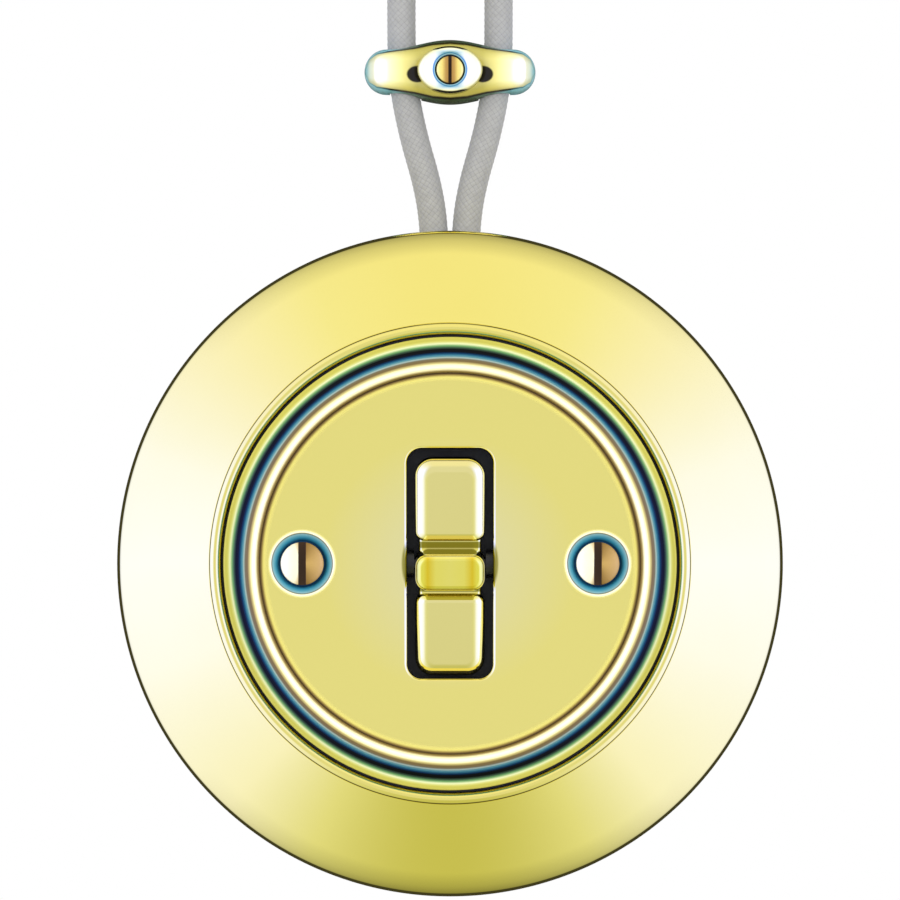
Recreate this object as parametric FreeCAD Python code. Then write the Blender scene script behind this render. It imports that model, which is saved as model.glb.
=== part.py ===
import FreeCAD, Part
import math
import os

# Round surface-mounted toggle switch with two cords, a cable bridge and a wall rosette.
# The wall is the plane y = 0 and the front points towards -Y. A height is a distance from the wall.
# The origin is the centre of the back face, and +Z is up. All sizes are in millimetres.

V = FreeCAD.Vector
os.makedirs("parts", exist_ok=True)

# Housing
housing_radius = 50.0
housing_depth = 33.2
housing_wall = 1.8
edge_radius = 1.6
edge_slope = 48.0
dome_slope = 76.0
collar_radius = 36.0
collar_width = 1.8
ledge_drop = 2.2
ledge_width = 2.7

# Cover plate
gasket_thickness = 0.4
cover_gap = 0.4
flange_thickness = 1.6
cove_radius = 2.0
bead_radius = 1.2
bead_rise = 1.5
cover_thickness = 1.6
window_width = 12.8
window_height = 34.3
window_corner = 2.2
cover_screw_offset = 22.0
cover_screw_radius = 1.5
countersink_radius = 4.5
screw_head_radius = 3.2

# Toggle
toggle_width = 10.3
toggle_end_gap = 0.85
toggle_face_height = 4.6
toggle_thickness = 3.6
bar_length = 5.5
bar_height = 4.8
neck_depth = 0.5
valley_depth = 1.6
pad_corner = 2.6
rest_tilt = 9.0
pivot_depth = 4.0
pin_radius = 1.0
pin_clearance = 0.05
bearing_wall = 1.1

# Mechanism
well_side_gap = 0.3
well_wall = 4.3
well_end_wall = 2.8
floor_thickness = 1.8
fulcrum_rise = 3.45
hub_radius = 1.5
blade_gap = 0.15
plunger_reach = 12.4
plunger_radius = 1.7
plunger_stem_radius = 0.75
plunger_travel = 1.2
barrel_lap = 3.0
spring_radius = 1.5
spring_wire = 0.45
spring_turns = 6
core_half_width = 4.2
core_half_height = 6.2
core_screw_place = 4.0
blade_thickness = 1.0
blade_width = 6.0
fork_thickness = 1.2
blade_half_length = 11.0
blade_slope = 9.0
blade_tilt = 7.0
fulcrum_radius = 0.72
fulcrum_clearance = 0.06
contact_offset = 9.3
contact_radius = 1.8
contact_thickness = 0.9
contact_gap = 0.12
strip_thickness = 1.2
strip_half_width = 2.5

# Support
base_gap = 1.7
base_thickness = 6.0
wall_hole_spacing = 60.0
wall_hole_width = 4.5
wall_hole_length = 8.0
pillar_x = 19.6
pillar_z = 16.0
pillar_radius = 3.0
yoke_thickness = 1.5
yoke_gap = 0.5
ear_half_height = 5.0
ear_hole_offset = 2.6
small_screw_radius = 1.25
small_head_radius = 2.2
small_head_height = 1.2
slot_width = 0.6

# Terminals and conductors
terminal_half_width = 3.6
terminal_depth = 8.0
conductor_radius = 0.8
core_spread = 0.95
wire_fit = 0.02

# Cords, bridge and rosette
cord_radius = 2.2
cord_rise = 2.3
# Each point is a distance from the middle and a distance above the housing's top edge.
cord_points = [
    (2.3, -7.7),
    (2.3, -0.4),
    (3.15, 7.0),
    (5.85, 16.2),
    (7.35, 24.6),
    (7.45, 33.4),
    (7.42, 42.0),
]
cord_clearance = 0.08
bridge_rise = 25.2
bridge_half_length = 13.1
bridge_half_width = 4.9
bridge_depth = 7.0
bridge_round = 2.0
boss_half_length = 5.0
boss_half_width = 3.6
boss_depth = 8.8
bridge_screw_radius = 1.3
bridge_head_radius = 2.05
rosette_rise = 55.4
rosette_radius = 17.0
rosette_depth = 12.0
rosette_wall = 1.5


# ---------------------------------------------------------------- helpers

def save(name, shape):
    shape.exportStep("parts/" + name + ".step")
    state = "valid" if shape.isValid() else "BAD"
    print(name, len(shape.Solids), "solids", round(shape.Volume, 1), "mm3", state)


def join(first, *others):
    return first.multiFuse(list(others)).removeSplitter()


def cut(first, *others):
    return first.cut(Part.makeCompound(list(others)))


def box(x0, x1, h0, h1, z0, z1):
    return Part.makeBox(x1 - x0, h1 - h0, z1 - z0, V(x0, -h1, z0))


def post(x, z, h0, h1, radius):
    """A round solid that stands out from the wall between two heights."""
    return Part.makeCylinder(radius, h1 - h0, V(x, -h0, z), V(0, -1, 0))


def bar(x0, x1, h, z, radius):
    """A round solid along X."""
    return Part.makeCylinder(radius, x1 - x0, V(x0, -h, z), V(1, 0, 0))


def polar(centre, radius, angle):
    turn = math.radians(angle)
    return (centre[0] + radius * math.cos(turn), centre[1] + radius * math.sin(turn))


def outline(start, steps):
    """Edges in the XY plane through (radius, height) points. A step of two points is an arc."""
    edges = []
    here = start
    for step in steps:
        if len(step) == 1:
            edges.append(Part.makeLine(V(here[0], -here[1], 0), V(step[0][0], -step[0][1], 0)))
        else:
            middle = V(step[0][0], -step[0][1], 0)
            edges.append(Part.Arc(V(here[0], -here[1], 0), middle, V(step[1][0], -step[1][1], 0)).toShape())
        here = step[-1]
    return Part.Wire(edges)


def lathe(start, steps, x=0.0, z=0.0):
    """A closed outline turned about the axis that points away from the wall."""
    solid = Part.Face(outline(start, steps)).revolve(V(0, 0, 0), V(0, 1, 0), 360)
    solid.translate(V(x, 0, z))
    return solid


def rounded_plate(half_width, half_height, h0, h1, corner, x=0.0, z=0.0):
    plate = box(x - half_width, x + half_width, h0, h1, z - half_height, z + half_height)
    uprights = [e for e in plate.Edges if abs(e.tangentAt(e.FirstParameter).y) > 0.99]
    return plate.makeFillet(corner, uprights)


def turned(shape, degrees, z, h):
    """A copy turned about the X line through (z, h). A positive turn carries the front upwards."""
    copy = shape.copy()
    copy.rotate(V(0, -h, z), V(-1, 0, 0), degrees)
    return copy


def screw(x, z, h_tip, h_seat, radius, head_radius, head_height, slot_angle=0.0, dome=0.0):
    """A slotted screw. A domed head has a shallow crown over its rim."""
    rim = h_seat + head_height - dome
    steps = [
        [(radius, h_tip)],
        [(radius, h_seat)],
        [(head_radius, h_seat)],
        [(head_radius, rim)],
    ]
    if dome > 0:
        crown = (head_radius * 0.55, rim + dome * 0.72)
        steps.append([crown, (0, rim + dome)])
    else:
        steps.append([(0, rim)])
    steps.append([(0, h_tip)])
    solid = lathe((0, h_tip), steps, x, z)
    groove = box(
        x - slot_width * head_radius / small_head_radius / 2,
        x + slot_width * head_radius / small_head_radius / 2,
        h_seat + head_height * 0.45,
        h_seat + head_height + 1,
        z - head_radius - 1,
        z + head_radius + 1,
    )
    groove.rotate(V(x, 0, z), V(0, 1, 0), slot_angle)
    return solid.cut(groove)


def tube(points, radius, name):
    """A round cord along straight runs joined by tangent arcs, with its least bend radius printed."""
    edges = []
    here = points[0]
    bends = []
    for before, corner, after in zip(points, points[1:], points[2:]):
        into = corner - before
        out = after - corner
        half = into.getAngle(out) / 2
        back = 0.45 * min(into.Length, out.Length)
        bends.append(back / math.tan(half))
        into.normalize()
        out.normalize()
        first = corner - into * back
        last = corner + out * back
        to_centre = out - into
        to_centre.normalize()
        reach = bends[-1] / math.cos(half)
        middle = corner + to_centre * (reach - bends[-1])
        edges.append(Part.LineSegment(here, first).toShape())
        edges.append(Part.Arc(first, middle, last).toShape())
        here = last
    edges.append(Part.LineSegment(here, points[-1]).toShape())
    path = Part.Wire(edges)
    direction = points[1] - points[0]
    ring = Part.Wire(Part.makeCircle(radius, points[0], direction))
    solid = path.makePipeShell([ring], True, False)
    print(
        name, "length", round(path.Length, 2), "least bend radius", round(min(bends), 2),
        "volume ratio", round(solid.Volume / (math.pi * radius ** 2 * path.Length), 4),
    )
    return solid


def cord_at(z):
    """How far a cord's centre line is from the middle at one level."""
    for (x0, z0), (x1, z1) in zip(cord_route, cord_route[1:]):
        if z0 <= z <= z1:
            return x0 + (x1 - x0) * (z - z0) / (z1 - z0)
    return cord_route[0][0]


def mirrored(shape):
    return shape.mirror(V(0, 0, 0), V(1, 0, 0))


# ---------------------------------------------------------------- shared levels and places

ledge_height = housing_depth - ledge_drop
collar_inner = collar_radius - collar_width
ledge_inner = collar_inner - ledge_width
flange_bottom = ledge_height + gasket_thickness
flange_top = flange_bottom + flange_thickness
cover_radius = collar_inner - cover_gap
bead_centre = (cover_radius - 1.0 - cove_radius - bead_radius, flange_top + cove_radius + 0.6)
plate_face = bead_centre[1] + bead_radius - bead_rise
plate_back = plate_face - cover_thickness
pivot_height = plate_face - pivot_depth
yoke_top = flange_bottom
yoke_bottom = yoke_top - yoke_thickness
body_front = plate_back - 0.1
well_half_width = window_width / 2 + well_side_gap
well_half_height = window_height / 2 + 0.05
body_half_width = well_half_width + well_wall
body_half_height = well_half_height + well_end_wall
blade_top = pivot_height - plunger_reach - blade_gap
fulcrum_height = blade_top - hub_radius
floor_height = fulcrum_height - fulcrum_rise
body_back = floor_height - floor_thickness
base_radius = housing_radius - housing_wall - base_gap
pillar_places = [(pillar_x, -pillar_z), (-pillar_x, pillar_z)]
fork_gap = blade_width / 2 + 0.15
fork_half_width = fork_gap + fork_thickness
toggle_half_length = window_height / 2 - toggle_end_gap
bearing_radius = pin_radius + bearing_wall
bridge_height = housing_radius + bridge_rise
rosette_height = housing_radius + rosette_rise
cord_route = [(x, housing_radius + rise) for x, rise in cord_points]

# ---------------------------------------------------------------- housing

edge_end = polar((housing_radius - edge_radius, 0), edge_radius, edge_slope)
cosine_span = math.cos(math.radians(edge_slope)) - math.cos(math.radians(dome_slope))
sine_span = math.sin(math.radians(dome_slope)) - math.sin(math.radians(edge_slope))
dome_radius = (edge_end[0] - collar_radius) / cosine_span
side_height = housing_depth - 0.97 - dome_radius * sine_span - edge_end[1]
edge_centre = (housing_radius - edge_radius, side_height)
edge_end = polar(edge_centre, edge_radius, edge_slope)
dome_centre = polar(edge_end, -dome_radius, edge_slope)
middle_slope = (edge_slope + dome_slope) / 2
crease = polar(dome_centre, dome_radius, dome_slope)
ledge_under = ledge_height - 1.6
inner_dome = dome_radius - housing_wall
under_sine = (ledge_under - dome_centre[1]) / inner_dome
under_slope = math.degrees(math.asin(under_sine))
wall_cosine = (housing_radius - housing_wall - dome_centre[0]) / inner_dome
wall_slope = math.degrees(math.acos(wall_cosine))
housing = lathe(
    (housing_radius, 0),
    [
        [(housing_radius, side_height)],
        [polar(edge_centre, edge_radius, edge_slope / 2), edge_end],
        [polar(dome_centre, dome_radius, middle_slope), crease],
        [(collar_radius - collar_width / 2, housing_depth), (collar_inner, housing_depth - 0.7)],
        [(collar_inner, ledge_height)],
        [(ledge_inner, ledge_height)],
        [(ledge_inner, ledge_under)],
        [polar(dome_centre, inner_dome, under_slope)],
        [
            polar(dome_centre, inner_dome, (under_slope + wall_slope) / 2),
            polar(dome_centre, inner_dome, wall_slope),
        ],
        [(housing_radius - housing_wall, 0)],
        [(housing_radius, 0)],
    ],
)
cord_start = cord_route[0][0]
notch_half = cord_at(housing_radius) + cord_radius + 1.2
notch_top = cord_rise + cord_radius + 1.2
notch_floor = housing_radius - housing_wall - 2
notch = box(-notch_half, notch_half, -1, notch_top, notch_floor, housing_radius + 2)
notch_edges = [
    e for e in notch.Edges
    if abs(e.tangentAt(e.FirstParameter).z) > 0.99 and e.CenterOfMass.y < -notch_top + 0.1
]
notch = notch.makeFillet(notch_half * 0.6, notch_edges)
housing = housing.cut(notch)
save("housing", housing)

# ---------------------------------------------------------------- cover plate, gasket and screws

cover = lathe(
    (0, plate_back),
    [
        [(bead_centre[0] - 0.7, plate_back)],
        [(bead_centre[0] - 0.7, flange_bottom)],
        [(cover_radius, flange_bottom)],
        [(cover_radius, flange_top - 0.2)],
        [(cover_radius - 0.2, flange_top)],
        [(cover_radius - 1.0, flange_top)],
        [
            polar((cover_radius - 1.0, flange_top + cove_radius), cove_radius, 225),
            (cover_radius - 1.0 - cove_radius, flange_top + cove_radius),
        ],
        [(cover_radius - 1.0 - cove_radius, bead_centre[1])],
        [
            (bead_centre[0], bead_centre[1] + bead_radius),
            (bead_centre[0] - bead_radius, bead_centre[1]),
        ],
        [(bead_centre[0] - bead_radius, plate_face)],
        [(0, plate_face)],
        [(0, plate_back)],
    ],
)
window = rounded_plate(window_width / 2, window_height / 2, plate_back - 5, plate_face + 5, window_corner)
sinks = []
for side in (-1, 1):
    sinks.append(
        lathe(
            (0, plate_back - 1),
            [
                [(cover_screw_radius + 0.15, plate_back - 1)],
                [(cover_screw_radius + 0.15, plate_back + 0.4)],
                [(countersink_radius - 1.1, plate_back + 0.4)],
                [(countersink_radius, plate_face)],
                [(countersink_radius, plate_face + 1)],
                [(0, plate_face + 1)],
                [(0, plate_back - 1)],
            ],
            side * cover_screw_offset,
        )
    )
cover = cut(cover, window, *sinks)
save("cover_plate", cover)

gasket = lathe(
    (ledge_inner, ledge_height),
    [
        [(collar_inner - 0.05, ledge_height)],
        [(collar_inner - 0.05, flange_bottom)],
        [(ledge_inner, flange_bottom)],
        [(ledge_inner, ledge_height)],
    ],
)
save("cover_gasket", gasket)

for side, name in ((-1, "cover_screw_left"), (1, "cover_screw_right")):
    save(
        name,
        screw(
            side * cover_screw_offset, 0, yoke_bottom - 1.0, plate_back + 0.4, cover_screw_radius,
            screw_head_radius, 1.75, 0.0, 0.45,
        ),
    )

# ---------------------------------------------------------------- base, pillars and yoke

base = Part.makeCylinder(base_radius, base_thickness, V(0, 0, 0), V(0, -1, 0))
base_front = [e for e in base.Edges if e.CenterOfMass.y < -base_thickness + 0.1 and e.Closed]
base = base.makeFillet(0.8, base_front)
channel_half = cord_start + cord_radius + 0.4
channel_end = cord_route[0][1] - 6.5
clamp_place = cord_route[0][1] + 0.7
channel_reach = (base_radius + 4 - channel_end) / 2
channel = rounded_plate(
    channel_half, channel_reach, -1, base_thickness + 1, 2.0, 0, channel_end + channel_reach
)
wall_slots = []
for side in (-1, 1):
    straight = (wall_hole_length - wall_hole_width) / 2
    middle = side * wall_hole_spacing / 2
    wall_slots.append(
        join(
            box(middle - straight, middle + straight, -1, base_thickness + 1,
                -wall_hole_width / 2, wall_hole_width / 2),
            post(middle - straight, 0, -1, base_thickness + 1, wall_hole_width / 2),
            post(middle + straight, 0, -1, base_thickness + 1, wall_hole_width / 2),
        )
    )
loose_bore = small_screw_radius + 0.15
foot_holes = []
for x, z in pillar_places:
    foot_holes.append(post(x, z, -1, base_thickness + 1, loose_bore))
    foot_holes.append(post(x, z, -1, 2.0, small_head_radius + 0.3))
clamp_screw_offset = channel_half + 3.1
clamp_holes = [
    post(side * clamp_screw_offset, clamp_place, 1.0, base_thickness + 1, small_screw_radius)
    for side in (-1, 1)
]
base = cut(base, channel, *wall_slots, *foot_holes, *clamp_holes)
save("mounting_base", base)

pillars = []
pillar_screws = []
for x, z in pillar_places:
    pillar = post(x, z, base_thickness, yoke_bottom, pillar_radius)
    foot_bore = post(x, z, base_thickness - 1, base_thickness + 6, small_screw_radius)
    top_bore = post(x, z, yoke_bottom - 5, yoke_bottom + 1, small_screw_radius)
    pillars.append(cut(pillar, foot_bore, top_bore))
    stud = screw(0, 0, -base_thickness - 4.5, -1.7, small_screw_radius, small_head_radius,
                 small_head_height)
    stud.rotate(V(0, 0, 0), V(0, 0, 1), 180)
    stud.translate(V(x, 0, z))
    pillar_screws.append(stud)
save("pillars", Part.makeCompound(pillars))
save("pillar_screws", Part.makeCompound(pillar_screws))

ear_reach = body_half_width + 6.5
ear_screw_offset = body_half_width + 3.4
ear_places = [
    (side * ear_screw_offset, end * ear_hole_offset) for side in (-1, 1) for end in (-1, 1)
]
yoke = post(0, 0, yoke_bottom, yoke_top, ledge_inner - yoke_gap)
yoke_window = rounded_plate(
    body_half_width + 0.2, body_half_height + 0.2, yoke_bottom - 1, yoke_top + 1, 0.4,
)
yoke_holes = []
for side in (-1, 1):
    yoke_holes.append(
        post(side * cover_screw_offset, 0, yoke_bottom - 1, yoke_top + 1, cover_screw_radius + wire_fit)
    )
for x, z in pillar_places + ear_places:
    yoke_holes.append(post(x, z, yoke_bottom - 1, yoke_top + 1, loose_bore))
yoke = cut(yoke, yoke_window, *yoke_holes)
save("support_yoke", yoke)

yoke_screws = []
for x, z in pillar_places:
    yoke_screws.append(
        screw(x, z, yoke_bottom - 4.5, yoke_top, small_screw_radius, small_head_radius,
              small_head_height, 2 * z)
    )
save("yoke_screws", Part.makeCompound(yoke_screws))

# ---------------------------------------------------------------- mechanism body

chamber_half_height = blade_half_length + 2.6
chamber_top = pivot_height - 6.5
body = box(-body_half_width, body_half_width, body_back, body_front, -body_half_height, body_half_height)
ears = box(-ear_reach, ear_reach, yoke_bottom - 3.0, yoke_bottom, -ear_half_height, ear_half_height)
body = join(body, ears)
well = box(
    -well_half_width, well_half_width, chamber_top, body_front + 1, -well_half_height, well_half_height
)
well_edges = [e for e in well.Edges if abs(e.tangentAt(e.FirstParameter).y) > 0.99]
well = well.makeChamfer(1.7, well_edges)
chamber_half_width = fork_half_width + 0.3
chamber = box(
    -chamber_half_width, chamber_half_width, floor_height, chamber_top + 1,
    -chamber_half_height, chamber_half_height,
)
strip_slots = [
    box(-body_half_width - 1, -chamber_half_width + 1, floor_height, floor_height + strip_thickness + 0.05,
        -strip_half_width - 0.05, strip_half_width + 0.05),
    box(chamber_half_width - 1, body_half_width + 1, floor_height, floor_height + strip_thickness + 0.05,
        contact_offset - strip_half_width - 0.05, contact_offset + strip_half_width + 0.05),
]
pin_bore = bar(-body_half_width - 1, body_half_width + 1, pivot_height, 0, pin_radius + pin_clearance)
ear_bores = [post(x, z, yoke_bottom - 4, yoke_bottom + 1, small_screw_radius) for x, z in ear_places]
body = cut(body, well, chamber, *strip_slots, *ear_bores)
bearing_face = toggle_width / 2 + 0.2
for side in (-1, 1):
    inner = side * bearing_face
    outer = side * (well_half_width + 0.5)
    body = join(body, bar(min(inner, outer), max(inner, outer), pivot_height, 0, bearing_radius))
body = body.cut(pin_bore)
save("mechanism_body", body)

mechanism_screws = []
for x, z in ear_places:
    mechanism_screws.append(
        screw(x, z, yoke_bottom - 2.8, yoke_top, small_screw_radius, small_head_radius,
              small_head_height, 1.5 * x + 4 * z)
    )
save("mechanism_screws", Part.makeCompound(mechanism_screws))

# ---------------------------------------------------------------- toggle, core, plunger and spring

face = pivot_height + toggle_face_height
bottom = face - toggle_thickness
pad_start = bar_length / 2 + 1.2
half_width = toggle_width / 2
neck = half_width - neck_depth
toggle_plate = box(-neck, neck, bottom, face - valley_depth, -pad_start - 1, pad_start + 1)
pads = []
for end in (-1, 1):
    low = min(end * pad_start, end * toggle_half_length)
    pad = box(-half_width, half_width, bottom, face, low, low + toggle_half_length - pad_start)
    outer = [
        e for e in pad.Edges
        if abs(e.tangentAt(e.FirstParameter).y) > 0.99 and abs(e.CenterOfMass.z) > toggle_half_length - 0.1
    ]
    pad = pad.makeFillet(pad_corner, outer)
    inner = [
        e for e in pad.Edges
        if abs(e.tangentAt(e.FirstParameter).y) > 0.99 and abs(e.CenterOfMass.z) < pad_start + 0.1
    ]
    pad = pad.makeFillet(1.4, inner)
    front = [e for e in pad.Edges if e.CenterOfMass.y < -face + 0.05]
    pads.append(pad.makeFillet(1.25, front))
nose = box(-half_width, half_width, bottom, face + bar_height, -bar_length / 2, bar_length / 2)
nose_sides = [e for e in nose.Edges if abs(e.tangentAt(e.FirstParameter).y) > 0.99]
nose = nose.makeFillet(1.6, nose_sides)
nose_front = [e for e in nose.Edges if e.CenterOfMass.y < -face - bar_height + 0.05]
nose = nose.makeFillet(1.0, nose_front)
toggle = join(toggle_plate, pads[0], pads[1], nose)

barrel_outer = spring_radius + 1.25
barrel_inner = spring_radius + 0.25
barrel_end = pivot_height - plunger_reach + barrel_lap
spring_seat = pivot_height - pin_radius - 0.9
core = box(-core_half_width, core_half_width, spring_seat - 1.0, bottom,
           -core_half_height, core_half_height)
core_front = [e for e in core.Edges if e.CenterOfMass.y > -spring_seat + 0.9 and abs(e.CenterOfMass.z) > 1]
core = core.makeFillet(0.9, core_front)
core = join(core, post(0, 0, barrel_end, spring_seat, barrel_outer))
core_cuts = [post(0, 0, barrel_end - 1, spring_seat, barrel_inner), pin_bore]
core_screws = []
screw_bores = []
for end in (-1, 1):
    seat = spring_seat - 0.1
    core_cuts.append(post(0, end * core_screw_place, spring_seat - 2, bottom + 1, 0.75))
    fastener = screw(0, 0, -bottom - 1.3, -seat + 0.9, 0.7, 1.25, 0.8)
    fastener.rotate(V(0, 0, 0), V(0, 0, 1), 180)
    fastener.translate(V(0, 0, end * core_screw_place))
    core_cuts.append(post(0, end * core_screw_place, spring_seat - 2, seat - 0.9, 1.4))
    core_screws.append(fastener)
    screw_bores.append(post(0, end * core_screw_place, bottom - 1, bottom + 1.4, 0.7))
core = cut(core, *core_cuts)
toggle = cut(toggle, pin_bore, *screw_bores)

tip_centre = pivot_height - plunger_reach + plunger_radius
shoulder = tip_centre + 1.9
stem_top = spring_seat - plunger_travel - 0.3
plunger = lathe(
    (0, tip_centre - plunger_radius),
    [
        [polar((0, tip_centre), plunger_radius, -45), (plunger_radius, tip_centre)],
        [(plunger_radius, shoulder)],
        [(plunger_stem_radius, shoulder)],
        [(plunger_stem_radius, stem_top)],
        [(0, stem_top)],
        [(0, tip_centre - plunger_radius)],
    ],
)
spring_rise = spring_seat - shoulder - spring_wire - 0.04
coil = Part.makeHelix(spring_rise / spring_turns, spring_rise, spring_radius - spring_wire / 2)
coil.rotate(V(0, 0, 0), V(1, 0, 0), 90)
coil.translate(V(0, -shoulder - spring_wire / 2 - 0.02, 0))
coil_start = V(spring_radius - spring_wire / 2, -shoulder - spring_wire / 2 - 0.02, 0)
wire_ring = Part.Wire(Part.makeCircle(spring_wire / 2, coil_start, V(0, 0, 1)))
spring = Part.Wire(coil).makePipeShell([wire_ring], True, True)


def tilted(shape):
    return turned(shape, -rest_tilt, 0, pivot_height)


save("toggle", tilted(toggle))
save("rocker_core", tilted(core))
save("core_screws", tilted(Part.makeCompound(core_screws)))
save("plunger", tilted(plunger))
save("plunger_spring", tilted(spring))
save("toggle_pin", bar(-body_half_width + 0.3, body_half_width - 0.3, pivot_height, 0, pin_radius))

# ---------------------------------------------------------------- see-saw blade and contacts

hub = bar(-blade_width / 2, blade_width / 2, fulcrum_height, 0, hub_radius)
wings = []
contacts = []
for end in (-1, 1):
    low = min(0, end * blade_half_length)
    wing = box(-blade_width / 2, blade_width / 2, blade_top - blade_thickness, blade_top,
               low, low + blade_half_length)
    wings.append(turned(wing, -end * blade_slope, 0, blade_top))
blade_under = blade_top - blade_thickness
contact = post(0, contact_offset, blade_under - contact_thickness, blade_under, contact_radius)
contact = turned(contact, -blade_slope, 0, blade_top)
blade = join(wings[0], wings[1], hub)
hub_bore = bar(-blade_width, blade_width, fulcrum_height, 0, fulcrum_radius + fulcrum_clearance)
blade = turned(cut(blade, hub_bore), blade_tilt, 0, fulcrum_height)
contact = turned(contact, blade_tilt, 0, fulcrum_height)
save("contact_blade", blade)
save("moving_contact", contact)

strip_reach = body_half_width + 8.0
fork = box(-strip_reach, fork_half_width, floor_height, floor_height + strip_thickness,
           -strip_half_width, strip_half_width)
for side in (-1, 1):
    inner = side * fork_gap
    outer = side * fork_half_width
    fork = join(
        fork,
        box(min(inner, outer), max(inner, outer), floor_height, fulcrum_height,
            -strip_half_width, strip_half_width),
        bar(min(inner, outer), max(inner, outer), fulcrum_height, 0, 1.6),
    )
fork = fork.cut(bar(-8, 8, fulcrum_height, 0, fulcrum_radius))
save("fulcrum_post", fork)
save("fulcrum_pin", bar(-fork_half_width - 0.1, fork_half_width + 0.1, fulcrum_height, 0, fulcrum_radius))

fixed_top = -contact.BoundBox.YMax - contact_gap
fixed_bar = box(-2.5, strip_reach, floor_height, floor_height + strip_thickness,
                contact_offset - strip_half_width, contact_offset + strip_half_width)
save("fixed_contact_bar", fixed_bar)
save("fixed_contact", post(0, contact_offset, floor_height + strip_thickness, fixed_top, contact_radius))

# ---------------------------------------------------------------- terminals and their conductors

terminal_back = floor_height + strip_thickness


def terminal(x, z, h0, name):
    """A brass block with one wire bore from above and a clamping screw in its front."""
    block = rounded_plate(terminal_half_width, terminal_half_width, h0, h0 + terminal_depth, 0.6, x, z)
    wire_bore = Part.makeCylinder(conductor_radius + wire_fit, 5.2, V(x, -h0 - 3.0, z - 1.4), V(0, 0, 1))
    front_bore = post(x, z, h0 + 3.6, h0 + terminal_depth + 1, small_screw_radius)
    clamp = screw(x, z, h0 + 4.2, h0 + terminal_depth, small_screw_radius, small_head_radius,
                  small_head_height)
    save(name, cut(block, wire_bore, front_bore))
    return clamp


line_place = (-body_half_width - 4.6, 0.0)
load_place = (body_half_width + 4.6, contact_offset)
earth_place = (0.0, channel_end - 5.9)
terminal_screws = [
    terminal(line_place[0], line_place[1], terminal_back, "line_terminal"),
    terminal(load_place[0], load_place[1], terminal_back, "load_terminal"),
]
save("terminal_screws", Part.makeCompound(terminal_screws))

wire_start = cord_route[0][1] - 0.2
wire_level = terminal_back + 3.0


def lead(side, place):
    """Points of a conductor from a cord's end, along the base and up into a terminal."""
    x = side * (cord_start + core_spread)
    return [
        V(x, -cord_rise, wire_start),
        V(x, -cord_rise, wire_start - 2.9),
        V(side * 4.6, -base_thickness - 4.0, wire_start - 5.3),
        V(side * 9.5, -wire_level, wire_start - 12.0),
        V(place[0], -wire_level, place[1] + body_half_height - 9.0),
        V(place[0], -wire_level, place[1] + 0.0),
    ]


save("line_conductor", tube(lead(-1, line_place), conductor_radius, "line_conductor"))
save("load_conductor", tube(lead(1, load_place), conductor_radius, "load_conductor"))

earth_block = rounded_plate(4.2, 2.4, base_thickness, base_thickness + 6.0, 0.6, 0, earth_place[1] + 1.1)
earth_level = base_thickness + 3.0
for side in (-1, 1):
    bore = Part.makeCylinder(
        conductor_radius + wire_fit, 4.0, V(side * 2.6, -earth_level, earth_place[1]), V(0, 0, 1)
    )
    earth_block = earth_block.cut(bore)
earth_block = earth_block.cut(post(0, earth_place[1] + 1.1, base_thickness, base_thickness + 7, 0.9))
save("earth_terminal", earth_block)
save(
    "earth_screw",
    screw(0, earth_place[1] + 1.1, base_thickness + 1.0, base_thickness + 6.0, 0.9, 1.8, 1.0, 20),
)
for side, name in ((-1, "earth_conductor_left"), (1, "earth_conductor_right")):
    x = side * (cord_start - core_spread)
    points = [
        V(x, -cord_rise, wire_start),
        V(x, -cord_rise, wire_start - 2.0),
        V(side * 2.6, -earth_level, wire_start - 5.5),
        V(side * 2.6, -earth_level, earth_place[1] + 0.1),
    ]
    save(name, tube(points, conductor_radius, name))

# ---------------------------------------------------------------- cords, grommet and clamp

route = [V(x, -cord_rise, z) for x, z in cord_route]
cord_right = tube(route, cord_radius, "cord_right")
cord_left = mirrored(cord_right)
save("cord_right", cord_right)
save("cord_left", cord_left)

hole_radius = cord_radius + cord_clearance
cord_hole = tube(route, hole_radius, "cord_hole")
cord_holes = [cord_hole, mirrored(cord_hole)]

flange_gap = 0.1
grommet_inner = housing_radius - housing_wall - 1.2
throat = box(-notch_half + flange_gap, notch_half - flange_gap, 0, notch_top - flange_gap,
             grommet_inner, housing_radius - 0.4)
throat_edges = [
    e for e in throat.Edges
    if abs(e.tangentAt(e.FirstParameter).z) > 0.99 and e.CenterOfMass.y < -notch_top + 0.3
]
throat = throat.makeFillet(notch_half * 0.6, throat_edges)
grommet = cut(throat, *cord_holes)
cord_exit = cord_at(housing_radius)
mouth = box(-cord_start, cord_start, -1, cord_rise, housing_radius - 10, housing_radius + 10)
grommet = grommet.cut(mouth)
for side in (-1, 1):
    grommet = grommet.cut(
        box(side * cord_exit - hole_radius, side * cord_exit + hole_radius, -1, cord_rise,
            housing_radius - 10, housing_radius + 10)
    )
save("cable_grommet", grommet)

clamp = box(-clamp_screw_offset - 3.0, clamp_screw_offset + 3.0, base_thickness,
            base_thickness + 1.6, clamp_place - 2.0, clamp_place + 2.0)
tongue = box(-channel_half + 0.2, channel_half - 0.2, cord_rise + cord_radius * 0.75,
             base_thickness + 0.5, clamp_place - 2.0, clamp_place + 2.0)
clamp = cut(join(clamp, tongue), *cord_holes)
clamp_screws = []
for side in (-1, 1):
    x = side * clamp_screw_offset
    clamp = clamp.cut(post(x, clamp_place, base_thickness - 1, base_thickness + 3, loose_bore))
    clamp_screws.append(
        screw(x, clamp_place, 1.5, base_thickness + 1.6, small_screw_radius, 2.0, small_head_height,
              40 * side)
    )
save("cord_clamp", clamp)
save("cord_clamp_screws", Part.makeCompound(clamp_screws))

# ---------------------------------------------------------------- cable bridge and its screw

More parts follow.
